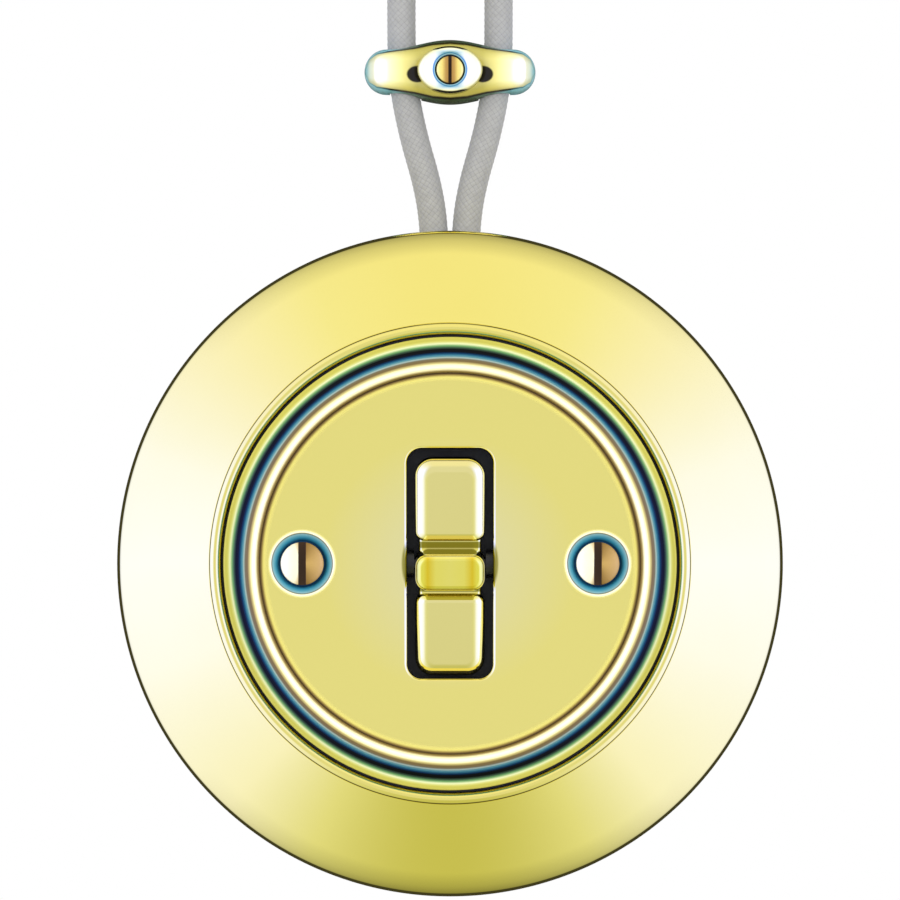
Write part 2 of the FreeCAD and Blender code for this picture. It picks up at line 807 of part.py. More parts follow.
end_radius = bridge_half_width - 1.5
end_centre = bridge_half_length - end_radius
quarter = [
    (bridge_half_length, 0),
    (end_centre + end_radius * 0.75, end_radius * 0.68),
    (end_centre, end_radius),
    (end_centre * 0.5, end_radius + 0.95),
    (0, bridge_half_width),
]
upper = quarter + [(-x, z) for x, z in reversed(quarter[:-1])]
rim = upper + [(x, -z) for x, z in reversed(upper[1:-1])]
plan = Part.BSplineCurve()
plan.interpolate([V(x, 0, z) for x, z in rim], PeriodicFlag=True)
arms = Part.Face(Part.Wire(plan.toShape())).extrude(V(0, -bridge_depth, 0))
arms = arms.makeFillet(bridge_round, [e for e in arms.Edges if e.BoundBox.YMax < -bridge_depth + 0.01])
boss = Part.makeCylinder(1.0, boss_depth, V(0, 0, 0), V(0, -1, 0))
widen = FreeCAD.Matrix()
widen.scale(boss_half_length, 1, boss_half_width)
boss = boss.transformGeometry(widen)
boss = boss.makeFillet(0.8, [e for e in boss.Edges if e.BoundBox.YMax < -boss_depth + 0.01])
bridge = join(arms, boss)
bridge.translate(V(0, 0, bridge_height))
bridge_seat = boss_depth - 1.5
bridge = cut(bridge, *cord_holes)
for side in (-1, 1):
    centre = side * cord_route[4][0]
    bridge = bridge.cut(
        box(centre - hole_radius, centre + hole_radius, -1, cord_rise, bridge_height - 8, bridge_height + 8)
    )
bridge = cut(
    bridge,
    post(0, bridge_height, -1, boss_depth + 1, bridge_screw_radius + 0.1),
    post(0, bridge_height, bridge_seat, boss_depth + 1, bridge_head_radius + 0.25),
)
save("cable_bridge", bridge)
save(
    "bridge_screw",
    screw(0, bridge_height, 0, bridge_seat, bridge_screw_radius, bridge_head_radius, 1.6, 0.0, 0.3),
)

# ---------------------------------------------------------------- wall rosette

rosette = lathe(
    (rosette_radius, 0),
    [
        [(rosette_radius, 4.0)],
        [(rosette_radius - 2.2, 8.6), (rosette_radius * 0.5, rosette_depth - 0.8)],
        [(rosette_radius * 0.25, rosette_depth - 0.1), (2.0, rosette_depth)],
        [(2.0, rosette_depth - rosette_wall)],
        [(rosette_radius * 0.5, rosette_depth - 0.8 - rosette_wall)],
        [(rosette_radius - 3.9, 7.6), (rosette_radius - rosette_wall, 4.0)],
        [(rosette_radius - rosette_wall, 0)],
        [(rosette_radius, 0)],
    ],
    0, rosette_height,
)
rosette = cut(rosette, *cord_holes)
for side in (-1, 1):
    centre = side * cord_route[-1][0]
    rosette = rosette.cut(
        box(centre - hole_radius - 0.05, centre + hole_radius + 0.05, -1, cord_rise,
            cord_route[-1][1] - 6, cord_route[-1][1] + 0.2)
    )
save("wall_rosette", rosette)

plate_radius = rosette_radius - rosette_wall - 0.4
rosette_plate = post(0, rosette_height, 0, 2.0, plate_radius)
stem = post(0, rosette_height, 0, rosette_depth - rosette_wall - 0.2, 3.4)
rosette_plate = join(rosette_plate, stem)
rosette_plate = rosette_plate.cut(
    post(0, rosette_height, 2.5, rosette_depth, 1.6)
)
rosette_plate = rosette_plate.cut(
    box(-cord_route[-1][0] - 3.5, cord_route[-1][0] + 3.5, -1, 3,
        rosette_height - 20, cord_route[-1][1] + 2.5)
)
wall_holes = [post(side * 9.5, rosette_height + 2.0, -1, 3, 1.6) for side in (-1, 1)]
rosette_plate = cut(rosette_plate, *wall_holes)
save("rosette_plate", rosette_plate)
save(
    "rosette_screw",
    screw(0, rosette_height, 3.5, rosette_depth, 1.6, 2.9, 1.4, 0.0, 0.3),
)
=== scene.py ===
import bmesh
import bpy
import math
from mathutils import Matrix, Vector


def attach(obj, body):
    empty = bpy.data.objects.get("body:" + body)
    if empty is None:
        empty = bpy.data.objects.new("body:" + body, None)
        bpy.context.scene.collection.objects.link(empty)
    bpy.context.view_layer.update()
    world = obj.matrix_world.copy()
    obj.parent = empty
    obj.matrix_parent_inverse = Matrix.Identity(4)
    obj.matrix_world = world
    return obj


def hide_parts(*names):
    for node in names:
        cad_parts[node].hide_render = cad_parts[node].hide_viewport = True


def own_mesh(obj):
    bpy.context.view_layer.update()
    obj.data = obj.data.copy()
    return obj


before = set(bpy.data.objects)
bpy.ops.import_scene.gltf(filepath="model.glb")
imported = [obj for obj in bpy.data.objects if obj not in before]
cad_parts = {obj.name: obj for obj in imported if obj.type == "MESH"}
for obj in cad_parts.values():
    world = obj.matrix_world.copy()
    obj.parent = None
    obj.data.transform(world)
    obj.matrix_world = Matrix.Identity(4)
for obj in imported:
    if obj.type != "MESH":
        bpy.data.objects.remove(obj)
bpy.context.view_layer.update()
mm = 0.001
print("frame loaded,", len(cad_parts), "nodes")


# shader maths: a socket that can be added to, multiplied and so on

class Signal:
    def __init__(self, shader, socket):
        self.shader = shader
        self.socket = socket

    def maths(self, operation, *values):
        return self.shader.maths(operation, *values)

    def __add__(self, other):
        return self.maths("ADD", self, other)

    def __radd__(self, other):
        return self.maths("ADD", other, self)

    def __sub__(self, other):
        return self.maths("SUBTRACT", self, other)

    def __rsub__(self, other):
        return self.maths("SUBTRACT", other, self)

    def __mul__(self, other):
        return self.maths("MULTIPLY", self, other)

    def __rmul__(self, other):
        return self.maths("MULTIPLY", other, self)

    def __truediv__(self, other):
        return self.maths("DIVIDE", self, other)

    def __rtruediv__(self, other):
        return self.maths("DIVIDE", other, self)

    def __abs__(self):
        return self.maths("ABSOLUTE", self)

    def above(self, limit):
        return self.maths("GREATER_THAN", self, limit)

    def part(self, name):  # one of x, y, z of a vector
        split = self.shader.node("ShaderNodeSeparateXYZ", {}, {0: self})
        return Signal(self.shader, split.socket.node.outputs["xyz".index(name)])


class Shader:
    def __init__(self, name):
        self.material = bpy.data.materials.new(name)
        self.material.use_nodes = True
        self.tree = self.material.node_tree
        self.surface = self.tree.nodes["Principled BSDF"]

    def node(self, kind, settings=None, inputs=None, output=0):
        made = self.tree.nodes.new(kind)
        for key, value in (settings or {}).items():
            if key == "stops":
                ramp = made.color_ramp
                while len(ramp.elements) < len(value):
                    ramp.elements.new(1.0)
                for stop, (place, colour) in zip(ramp.elements, value):
                    stop.position = place
                    stop.color = (*colour, 1.0)
            else:
                setattr(made, key, value)
        for key, value in (inputs or {}).items():
            self.feed(made.inputs[key], value)
        return Signal(self, made.outputs[output])

    def maths(self, operation, *values):
        return self.node("ShaderNodeMath", {"operation": operation}, dict(enumerate(values)))

    def feed(self, socket, value):
        if isinstance(value, Signal):
            self.tree.links.new(value.socket, socket)
        elif isinstance(value, tuple) and socket.type == "RGBA":
            socket.default_value = (*value, 1.0)
        else:
            socket.default_value = value

    def place(self, scale=(1, 1, 1), turn=(0, 0, 0), source="Object"):
        where = self.tree.nodes.new("ShaderNodeTexCoord")
        return self.node("ShaderNodeMapping", {}, {
            "Vector": Signal(self, where.outputs[source]), "Scale": scale, "Rotation": turn})

    def noise(self, where, scale, detail=3.0, rough=0.5):
        return self.node("ShaderNodeTexNoise", {}, {
            "Vector": where, "Scale": scale, "Detail": detail, "Roughness": rough})

    def ramp(self, value, stops):
        return self.node("ShaderNodeValToRGB", {"stops": stops}, {"Fac": value})

    def mask(self, value, clear, full):  # 0 up to clear and 1 from full on, or 1 first when full is the lower
        return self.ramp(value, greys(*sorted([(clear, 0), (full, 1)])))

    def blend(self, factor, first, second, mode="MIX"):
        made = self.node("ShaderNodeMix", {"data_type": "RGBA", "blend_type": mode}).socket.node
        for socket, value in ((made.inputs[0], factor), (made.inputs[6], first), (made.inputs[7], second)):
            self.feed(socket, value)
        return Signal(self, made.outputs[2])

    def spread(self, value, low, high):  # a 0 to 1 value laid onto low to high
        return value * (high - low) + low

    def bump(self, height, distance, strength=1.0):
        return self.node("ShaderNodeBump", {}, {"Height": height, "Distance": distance, "Strength": strength})

    def finish(self, **sockets):
        names = {"colour": "Base Color", "rough": "Roughness", "metal": "Metallic", "normal": "Normal",
                 "coat": "Coat Weight", "sheen": "Sheen Weight", "level": "Specular IOR Level"}
        for key, value in sockets.items():
            self.feed(self.surface.inputs[names[key]], value)
        return self.material


# finishes

def greys(*rows):
    return [(at, (level, level, level)) for at, level in rows]


def tint(red, green, blue):  # 0 to 255 each, as linear light
    return tuple((value / 255) ** 2.2 for value in (red, green, blue))


def tints(*rows):
    return [(at, tint(*colour)) for at, *colour in rows]


def distance(s, across, up, least=1e-12):
    return s.maths("SQRT", across * across + up * up + least)


def reach(s, across, up):  # distance from a centre, in millimetres
    return distance(s, across, up) * 1000.0


def ellipse(s, across, up):  # 1 on an ellipse's outline
    return distance(s, across, up, 1e-6)


def bands(s, value, low, high, stops):  # colours laid along a distance
    return s.ramp((value - low) / (high - low), [((at - low) / (high - low), colour) for at, colour in stops])


def brassBase(name, tone=(1.0, 1.0, 1.0)):
    look = {"bright": (0.98, 0.86, 0.25), "deep": (0.94, 0.82, 0.22), "rough": (0.04, 0.09)}
    s = Shader(name)
    where = s.place()
    cloud = s.noise(where, 38.0, 3.0, 0.55)
    wipe = s.noise(s.place((60, 900, 900), (0.0, 0.35, 0.0)), 1.0, 2.0, 0.6)
    grain = s.noise(where, 5200.0, 2.0, 0.5)
    bright = tuple(a * b for a, b in zip(look["bright"], tone))
    deep = tuple(a * b for a, b in zip(look["deep"], tone))
    colour = s.blend(cloud, bright, deep)
    rough = s.spread(cloud * 0.5 + wipe * 0.5, *look["rough"])
    x, y, z = (where.part(name) for name in "xyz")
    return s, x, y, z, colour, rough, s.bump(grain, 0.0000006, 0.5)


def polishedBrass():
    sizes = {"housing": 50.0, "rosette": 17.0, "rosetteCentre": 105.4, "skin": 0.2}
    look = {"rougher": 0.16, "lessMetal": 0.55}
    s, x, y, z, colour, rough, normal = brassBase("polishedBrass")
    upright = 0.0  # the straight side walls are brushed, and take the room's light
    for radius, centre in ((sizes["housing"], 0.0), (sizes["rosette"], sizes["rosetteCentre"])):
        out = reach(s, x, z - centre * mm) - radius
        onWall = greys((0.0, 0), (0.46, 0), (0.48, 1), (0.95, 1), (1.0, 0))
        upright = s.ramp(out / sizes["skin"] * 0.5 + 0.5, onWall) + upright
    return s.finish(colour=colour, rough=rough + upright * look["rougher"],
                    metal=1.0 - upright * look["lessMetal"], normal=normal)


# painted reflection: light, dark and coloured bands round the bead and cove, with the bead's crest as a cream
# highlight
paintedReflectionRings = tints(  # from the cap's face out across its bead and cove, by radius
    (26.90, 230, 220, 120), (27.70, 224, 212, 108), (28.05, 150, 128, 70), (28.30, 70, 52, 34),
    (28.60, 140, 118, 66), (28.90, 240, 230, 175), (29.20, 255, 252, 214), (29.50, 250, 243, 190),
    (29.80, 186, 172, 108), (30.10, 108, 90, 58), (30.45, 112, 102, 76), (30.65, 160, 182, 178),
    (30.85, 110, 168, 184), (31.10, 40, 105, 138), (31.35, 12, 52, 86), (31.55, 8, 14, 24), (31.95, 9, 9, 10),
    (32.20, 52, 74, 56), (32.50, 107, 154, 94), (32.80, 222, 226, 168), (33.10, 200, 194, 100),
    (33.30, 186, 178, 80))

# painted reflection: dark and blue rings down a countersink, with a cream highlight at its lip
paintedSinkReflection = tints(  # down a countersink, by radius
    (3.0, 20, 40, 50), (3.45, 16, 60, 92), (3.8, 52, 130, 160), (4.1, 88, 156, 176), (4.38, 130, 172, 178),
    (4.52, 96, 92, 66), (4.66, 244, 240, 205), (5.2, 226, 216, 136))


def coverBrass():
    sizes = {"screw": 22.0, "ring": (26.9, 33.3), "sink": (3.0, 5.2), "paintedSheen": 19.0,
             "notch": 6.35, "notchWide": 0.95, "notchTall": 3.4}
    s, x, y, z, colour, rough, normal = brassBase("coverBrass")
    ring = reach(s, x, z)
    # painted sheen: the flat face paler and less yellow towards its centre
    middle = s.ramp(ring / sizes["paintedSheen"], [
        (0.0, (0.90, 0.86, 0.50)), (0.45, (0.93, 0.86, 0.44)), (1.0, (0.97, 0.86, 0.26))])
    colour = s.blend(0.75, colour, middle)
    # painted reflection bands laid over the bead and cove by radius
    inReflectionRings = s.mask((ring - 27.2) / 0.8, 0.0, 1.0)
    colour = s.blend(inReflectionRings, colour, bands(s, ring, *sizes["ring"], paintedReflectionRings))
    side = abs(x)
    # painted reflection down each countersink
    sink = reach(s, side - sizes["screw"] * mm, z)
    inSinkReflection = s.mask(sink / 6.0, 0.86, 0.80)
    colour = s.blend(inSinkReflection, colour, bands(s, sink, *sizes["sink"], paintedSinkReflection))
    # where reflection bands or countersink reflections are painted, the brass is made rougher and much less
    # metallic so the painted colours show
    painted = s.maths("MAXIMUM", inReflectionRings, inSinkReflection)
    # painted shade: a darker olive patch at each side of the window, halfway up
    besideNotch = (side - sizes["notch"] * mm) / (sizes["notchWide"] * mm)
    notch = ellipse(s, besideNotch, z / (sizes["notchTall"] * mm))
    colour = s.blend(s.mask(notch, 1.0, 0.72), colour, tint(168, 160, 78))
    return s.finish(colour=colour, rough=rough + painted * 0.16, metal=1.0 - painted * 0.88,
                    normal=normal, level=0.12)


def toggleBrass():
    sizes = {"pivot": 31.3, "tilt": 9.0, "half": 5.0}
    s, x, y, z, colour, rough, normal = brassBase("toggleBrass", (0.98, 1.0, 1.45))
    lean = math.radians(sizes["tilt"])
    own = z * math.cos(lean) + (y * -1.0 - sizes["pivot"] * mm) * math.sin(lean)
    along = abs(own) * 1000.0 / sizes["half"]
    away = abs(x) * 1000.0 / sizes["half"]
    # painted highlight: a cream-yellow colour along the pads' rounded sides
    colour = s.blend(s.mask(away, 0.60, 0.78), colour, (0.98, 0.90, 0.31))
    # painted shade: a darker olive band in the valleys between the pads and the neck
    paintedValleyShade = s.ramp(along, greys((0.0, 0), (0.54, 0), (0.58, 1), (0.74, 1), (0.77, 0)))
    colour = s.blend(paintedValleyShade, colour, tint(150, 141, 52))
    # painted highlight and shade across the nose: bright bands near its sides, darker at its edges
    paintedNoseShine = s.ramp(away, tints(
        (0.0, 255, 243, 128), (0.42, 255, 242, 118), (0.66, 246, 214, 58), (0.80, 255, 244, 100),
        (0.93, 240, 230, 96), (1.0, 180, 168, 70)))
    colour = s.blend(s.mask(along, 0.54, 0.46), colour, paintedNoseShine)
    return s.finish(colour=colour, rough=rough, metal=1.0, normal=normal)


def bridgeBrass():
    sizes = {"centre": 75.2, "half": 13.1, "wide": 4.95, "bossLong": 5.0, "bossWide": 3.6, "hole": 4.0}
    s, x, y, z, colour, rough, normal = brassBase("bridgeBrass", (1.0, 1.04, 1.9))
    up = z - sizes["centre"] * mm
    away = abs(x) * 1000.0
    rise = abs(up) * 1000.0
    run = away / sizes["half"]
    width = s.ramp(run, greys(  # the outline's half width over its greatest
        (0.0, 1.0), (0.20, 0.95), (0.42, 0.80), (0.70, 0.68), (0.85, 0.60), (0.94, 0.42), (1.0, 0.02)))
    rim = rise / (width * sizes["wide"])
    # painted reflection along the arms: darker near the boss, cream further out, light blue at the ends; then
    # painted shade darkening towards the rim
    arm = s.ramp(run, tints(
        (0.0, 206, 196, 104), (0.38, 196, 186, 92), (0.52, 222, 212, 126), (0.68, 250, 244, 186),
        (0.86, 254, 250, 214), (0.93, 226, 240, 226), (0.97, 150, 212, 226), (1.0, 120, 192, 210)))
    shade = s.ramp(rim, [(0.0, (1, 1, 1)), (0.45, (0.98, 0.98, 0.96)), (0.74, (0.74, 0.74, 0.62)),
                         (1.0, (0.5, 0.5, 0.4))])
    colour = s.blend(0.9, colour, s.blend(1.0, arm, shade, "MULTIPLY"))
    # painted reflection: olive to light blue on the sides, and a dark line along the rim turning blue towards
    # the ends
    side = s.ramp(run, tints(
        (0.0, 74, 84, 58), (0.50, 84, 112, 92), (0.72, 140, 204, 218), (1.0, 172, 222, 232)))
    line = s.ramp(run, tints((0.0, 44, 42, 22), (0.70, 34, 32, 20), (0.92, 120, 180, 190)))
    colour = s.blend(s.mask(rim, 0.87, 0.91), s.blend(s.mask(rim, 0.80, 0.84), colour, line), side)
    # painted dark reflection: an almond-shaped spot at each side of the boss
    almond = ellipse(s, (away - 5.0) / 1.7, (up * 1000.0 + 0.6) / 1.35)
    colour = s.blend(s.mask(almond, 1.0, 0.86), colour, tint(38, 34, 16))
    # painted highlight: the boss's top near white, turning yellower at its edge
    oval = ellipse(s, away / sizes["bossLong"], rise / sizes["bossWide"])
    boss = s.ramp(oval, tints(
        (0.0, 250, 250, 236), (0.78, 250, 250, 232), (0.90, 236, 234, 190), (1.0, 190, 184, 110)))
    colour = s.blend(s.mask(oval * 0.9, 0.90, 0.87), colour, boss)
    # painted shade: a dark arc along the boss's upper and lower edges
    tall = rise / sizes["bossWide"]
    arch = s.ramp(oval * 0.9, greys((0.0, 0), (0.81, 0), (0.835, 1), (0.89, 1), (0.915, 0)))
    colour = s.blend(arch * s.mask(tall, 0.80, 0.86), colour, tint(26, 24, 14))
    # painted reflection: a blue patch round the screw on the boss
    paintedSheen = s.ramp(away / 3.2, greys((0.0, 1), (0.30, 0.9), (0.85, 0)))
    paintedSheen = paintedSheen * s.ramp(tall, greys((0.0, 1), (0.72, 0.9), (0.88, 0)))
    colour = s.blend(paintedSheen, colour, tint(66, 152, 196))
    # painted reflection: dark, light blue and blue rings round the screw in its counterbore
    hole = reach(s, x, up) / sizes["hole"]
    ring = s.ramp(hole, tints(
        (0.0, 20, 30, 36), (0.56, 22, 30, 34), (0.59, 150, 200, 216), (0.64, 24, 100, 150),
        (0.68, 120, 190, 216)))
    colour = s.blend(s.mask(hole, 0.69, 0.64), colour, ring)
    return s.finish(colour=colour, rough=rough + 0.14, metal=0.25, normal=normal, level=0.3)


def turnedBrass():
    sizes = {"screw": 22.0, "bridge": 75.2, "slot": 0.60, "slotLess": 0.34}
    s = Shader("turnedBrass")
    where = s.place()
    x, z = where.part("x"), where.part("z")
    high = z.above(0.05)  # the bridge and rosette screws
    sign = s.maths("SIGN", x)
    across = x - sign * abs(x).above(0.012) * (sizes["screw"] * mm)
    up = z - high * (sizes["bridge"] * mm)
    away = reach(s, across, up)
    angle = s.maths("ARCTAN2", up, across)
    combined = s.node("ShaderNodeCombineXYZ", {}, {0: angle * 14.0, 1: away * 0.5})
    # streaks by angle set roughness and bumps, and also a painted sheen that lightens and darkens the heads
    streak = s.noise(combined, 1.0, 4.0, 0.65)
    facing = across / (away * mm + 0.00005)
    # painted highlight and shade: cover screw heads cream on one side and brown on the other; bridge and
    # rosette heads brown near the slot and bright further out
    onCover = s.ramp(facing * 0.5 + 0.5, tints(
        (0.0, 255, 248, 208), (0.30, 255, 248, 208), (0.44, 196, 160, 88), (0.58, 126, 96, 46),
        (1.0, 196, 160, 88)))
    wide = abs(across) * 1000.0
    onBridge = s.ramp(wide / 2.2, tints(
        (0.0, 150, 112, 58), (0.30, 186, 146, 78), (0.55, 240, 218, 116), (1.0, 252, 238, 150)))
    shade = s.blend(high, onCover, onBridge)
    colour = s.blend(streak * 0.5, shade, s.blend(0.6, shade, tint(126, 96, 46)))
    # painted shade: the slot dark
    slot = wide / (sizes["slot"] - high * sizes["slotLess"])
    colour = s.blend(s.mask(slot, 1.0, 0.88), colour, tint(62, 44, 22))
    return s.finish(colour=colour, rough=s.spread(streak, 0.22, 0.42), metal=0.35,
                    normal=s.bump(streak, 0.000012, 0.6), level=0.3)


def plainMetal(name, bright, deep, rough, scale=700.0, stretch=(1, 1, 8)):
    s = Shader(name)
    streak = s.noise(s.place(stretch), scale, 4.0, 0.6)
    spot = s.noise(s.place(), scale * 0.22, 2.0)
    colour = s.blend(streak * 0.5 + spot * 0.5, bright, deep)
    return s.finish(colour=colour, rough=s.spread(streak, *rough), metal=1.0,
                    normal=s.bump(streak, 0.00001, 0.6))


def moulded(name, bright, deep, rough, speckle=2600.0):
    s = Shader(name)
    grain = s.noise(s.place(), speckle, 3.0, 0.6)
    cloud = s.noise(s.place(), 90.0, 2.0)
    return s.finish(colour=s.blend(cloud, bright, deep), rough=s.spread(grain, *rough),
                    normal=s.bump(grain, 0.000015, 0.5))


def glazedCeramic():
    s = Shader("glazedCeramic")
    wave = s.noise(s.place(), 60.0, 3.0)
    fleck = s.noise(s.place(), 1500.0, 2.0, 0.7)
    glaze = s.blend(wave, (0.90, 0.88, 0.82), (0.84, 0.81, 0.74))
    colour = s.blend(s.mask(fleck, 0.70, 0.74), glaze, (0.55, 0.48, 0.38))
    return s.finish(colour=colour, rough=s.spread(wave, 0.08, 0.18), coat=0.6,
                    normal=s.bump(wave, 0.00015, 0.3))


finishes = {
    "polished": polishedBrass(),
    "cover": coverBrass(),
    "toggle": toggleBrass(),
    "bridge": bridgeBrass(),
    "turned": turnedBrass(),
    "plainBrass": plainMetal("plainBrass", (0.82, 0.62, 0.28), (0.60, 0.42, 0.17), (0.22, 0.40)),
    "zincSteel": plainMetal("zincSteel", (0.72, 0.73, 0.75), (0.52, 0.54, 0.57), (0.25, 0.42)),
    "springSteel": plainMetal("springSteel", (0.60, 0.60, 0.62), (0.42, 0.42, 0.45), (0.18, 0.34)),
    "darkSteel": plainMetal("darkSteel", (0.075, 0.075, 0.08), (0.045, 0.045, 0.05), (0.28, 0.42)),
    "silver": plainMetal("silver", (0.92, 0.91, 0.90), (0.78, 0.77, 0.76), (0.12, 0.24)),
    "ceramic": glazedCeramic(),
    "rubber": moulded("blackRubber", (0.016, 0.016, 0.016), (0.026, 0.026, 0.027), (0.55, 0.8)),
    "moulding": moulded("blackMoulding", (0.010, 0.010, 0.012), (0.018, 0.018, 0.021), (0.22, 0.42)),
    "nylon": moulded("naturalNylon", (0.82, 0.79, 0.72), (0.74, 0.71, 0.64), (0.32, 0.5)),
    "brown": moulded("brownInsulation", (0.17, 0.07, 0.03), (0.12, 0.05, 0.02), (0.3, 0.45)),
    "blue": moulded("blueInsulation", (0.05, 0.16, 0.48), (0.04, 0.12, 0.38), (0.3, 0.45)),
    "green": moulded("greenInsulation", (0.16, 0.42, 0.07), (0.12, 0.33, 0.06), (0.3, 0.45)),
}
print("finishes ready")


# mesh helpers. Lathes turn about the Y line, and a height is a distance out from the wall.

def arc(centre, radius, start, end, count, squash=1.0):
    points = []
    for i in range(count + 1):
        turn = math.radians(start + (end - start) * i / count)
        points.append((centre[0] + radius * math.cos(turn), centre[1] + radius * squash * math.sin(turn)))
    return points


def toObject(name, bm, material, sharp=32.0):
    bmesh.ops.remove_doubles(bm, verts=bm.verts, dist=1e-7)
    bmesh.ops.recalc_face_normals(bm, faces=bm.faces)
    mesh = bpy.data.meshes.new(name)
    bm.to_mesh(mesh)
    bm.free()
    mesh.materials.append(material)
    smooth(mesh, sharp)
    thing = bpy.data.objects.new(name, mesh)
    bpy.context.scene.collection.objects.link(thing)
    return thing


def addLoop(bm, points):
    return [bm.verts.new(Vector(p) * mm) for p in points]


def bridgeLoops(bm, first, second):
    count = len(first)
    for i in range(count):
        j = (i + 1) % count
        bm.faces.new((first[i], first[j], second[j], second[i]))


def circle(radius, height, count, x=0.0, z=0.0):
    return [(x + radius * math.cos(2 * math.pi * i / count), -height,
             z + radius * math.sin(2 * math.pi * i / count)) for i in range(count)]


def lathe(bm, profile, count, x=0.0, z=0.0, closed=False):
    loops = []
    for radius, height in profile:
        if radius < 1e-6:
            loops.append([bm.verts.new(Vector((x, -height, z)) * mm)])
        else:
            loops.append(addLoop(bm, circle(radius, height, count, x, z)))
    pairs = list(zip(loops, loops[1:]))
    if closed:
        pairs.append((loops[-1], loops[0]))
    for first, second in pairs:
        if len(first) == 1 or len(second) == 1:
            tip, ring = (first[0], second) if len(first) == 1 else (second[0], first)
            for i in range(count):
                bm.faces.new((tip, ring[i], ring[(i + 1) % count]))
        else:
            bridgeLoops(bm, first, second)
    return loops


def stack(bm, loops):  # a closed solid through the loops
    for first, second in zip(loops, loops[1:]):
        bridgeLoops(bm, first, second)
    bm.faces.new(loops[0])
    bm.faces.new(loops[-1])


def prism(name, finish, outline, ends):  # an outline of places and heights, drawn from end to end
    bm = bmesh.new()
    stack(bm, [addLoop(bm, [(x + shift, -height, z) for x, height in outline]) for shift, z in ends])
    return toObject(name, bm, finishes[finish])


def fillBetween(bm, loops):  # one flat face with holes, as triangles
    edges = []
    for loop in loops:
        for pair in zip(loop, loop[1:] + loop[:1]):
            edges.append(bm.edges.get(pair) or bm.edges.new(pair))
    bmesh.ops.triangle_fill(bm, use_beauty=True, use_dissolve=False, edges=edges)


def roundedOutline(left, right, low, high, radii, steps=12):
    # corners in order: right-high, left-high, left-low, right-low
    points = []
    spots = [(right, high, 0), (left, high, 90), (left, low, 180), (right, low, 270)]
    for (x, z, start), radius in zip(spots, radii):
        radius = max(radius, 0.02)
        cx = x - radius if start in (0, 270) else x + radius
        cz = z - radius if start in (0, 90) else z + radius
        for i in range(steps + 1):
            turn = math.radians(start + 90 * i / steps)
            points.append((cx + radius * math.cos(turn), cz + radius * math.sin(turn)))
    return points


def settle(thing):  # what the modifiers show becomes the plain mesh
    plain = bpy.data.meshes.new_from_object(thing.evaluated_get(bpy.context.evaluated_depsgraph_get()))
    thing.modifiers.clear()
    thing.data = plain


def smooth(mesh, sharp=32.0):
    mesh.shade_smooth()
    mesh.set_sharp_from_angle(angle=math.radians(sharp))


def carve(thing, cutters, operation="DIFFERENCE"):
    for cutter in cutters:
        modifier = thing.modifiers.new("carve", "BOOLEAN")
        modifier.operation = operation
        modifier.solver = "EXACT"
        modifier.object = cutter
    settle(thing)
    for cutter in cutters:
        bpy.data.objects.remove(cutter)
    smooth(thing.data)


def flatShadeSafe(thing):  # keeps broad flats flat next to small curves
    modifier = thing.modifiers.new("flats", "WEIGHTED_NORMAL")
    modifier.mode = "FACE_AREA"
    modifier.weight = 100
    modifier.keep_sharp = True
    settle(thing)


# camera

camera = {"distance": 1.2, "lens": 313.2, "rise": 0.1262}


def placeCamera():
    data = bpy.data.cameras.new("camera")
    data.lens = camera["lens"]
    data.sensor_width = 36.0
    data.shift_y = camera["rise"]
    data.clip_start = 0.05
    data.clip_end = 20.0
    thing = bpy.data.objects.new("camera", data)
    bpy.context.scene.collection.objects.link(thing)
    thing.location = (0, -camera["distance"], 0)
    thing.rotation_euler = (math.radians(90), 0, 0)
    bpy.context.scene.camera = thing


placeCamera()
print("camera placed")


# cords: a braided sleeve along the route

cordSizes = {
    "radius": 2.2, "rise": 2.3, "around": 132, "step": 0.13, "strands": 14, "lead": 13.0,
    "crown": 0.060, "weave": 0.035, "sink": 0.11,
    "route": [(2.3, 42.3), (2.3, 49.6), (3.15, 57.0), (5.85, 66.2), (7.35, 74.6), (7.45, 83.4), (7.42, 92.0)],
}


def routeLine(name, side):
    curve = bpy.data.curves.new(name, "CURVE")
    curve.dimensions = "3D"
    curve.resolution_u = 24
    spline = curve.splines.new("NURBS")
    points = [(side * x * mm, -cordSizes["rise"] * mm, z * mm) for x, z in cordSizes["route"]]
    spline.points.add(len(points) - 1)
    for point, place in zip(spline.points, points):
        point.co = (*place, 1.0)
    spline.order_u = 3
    spline.use_endpoint_u = True
    thing = bpy.data.objects.new(name, curve)
    bpy.context.scene.collection.objects.link(thing)
    line = bpy.data.meshes.new_from_object(thing.evaluated_get(bpy.context.evaluated_depsgraph_get()))
    path = [v.co.copy() for v in line.vertices]
    bpy.data.meshes.remove(line)
    bpy.data.objects.remove(thing)
    bpy.data.curves.remove(curve)
    return path


def evenPlaces(path, step):
    lengths = [0.0]
    for a, b in zip(path, path[1:]):
        lengths.append(lengths[-1] + (b - a).length)
    count = round(lengths[-1] / step)
    places, k = [], 0
    for i in range(count + 1):
        target = lengths[-1] * i / count
        while k < len(path) - 2 and lengths[k + 1] < target:
            k += 1
        share = (target - lengths[k]) / (lengths[k + 1] - lengths[k])
        places.append(path[k].lerp(path[k + 1], share))
    return places, lengths[-1]


def weaveHeight(across, along):
    a = cordSizes["strands"] * (across + along / (cordSizes["lead"] * mm))
    b = cordSizes["strands"] * (across - along / (cordSizes["lead"] * mm))
    over = math.sin(math.pi * a) * math.sin(math.pi * b)
    crownA = math.sqrt(max(0.0, 1 - (2 * (a % 1) - 1) ** 2 * 0.96))
    crownB = math.sqrt(max(0.0, 1 - (2 * (b % 1) - 1) ** 2 * 0.96))
    first = cordSizes["crown"] * crownA + cordSizes["weave"] * over
    second = cordSizes["crown"] * crownB - cordSizes["weave"] * over
    return max(first, second)


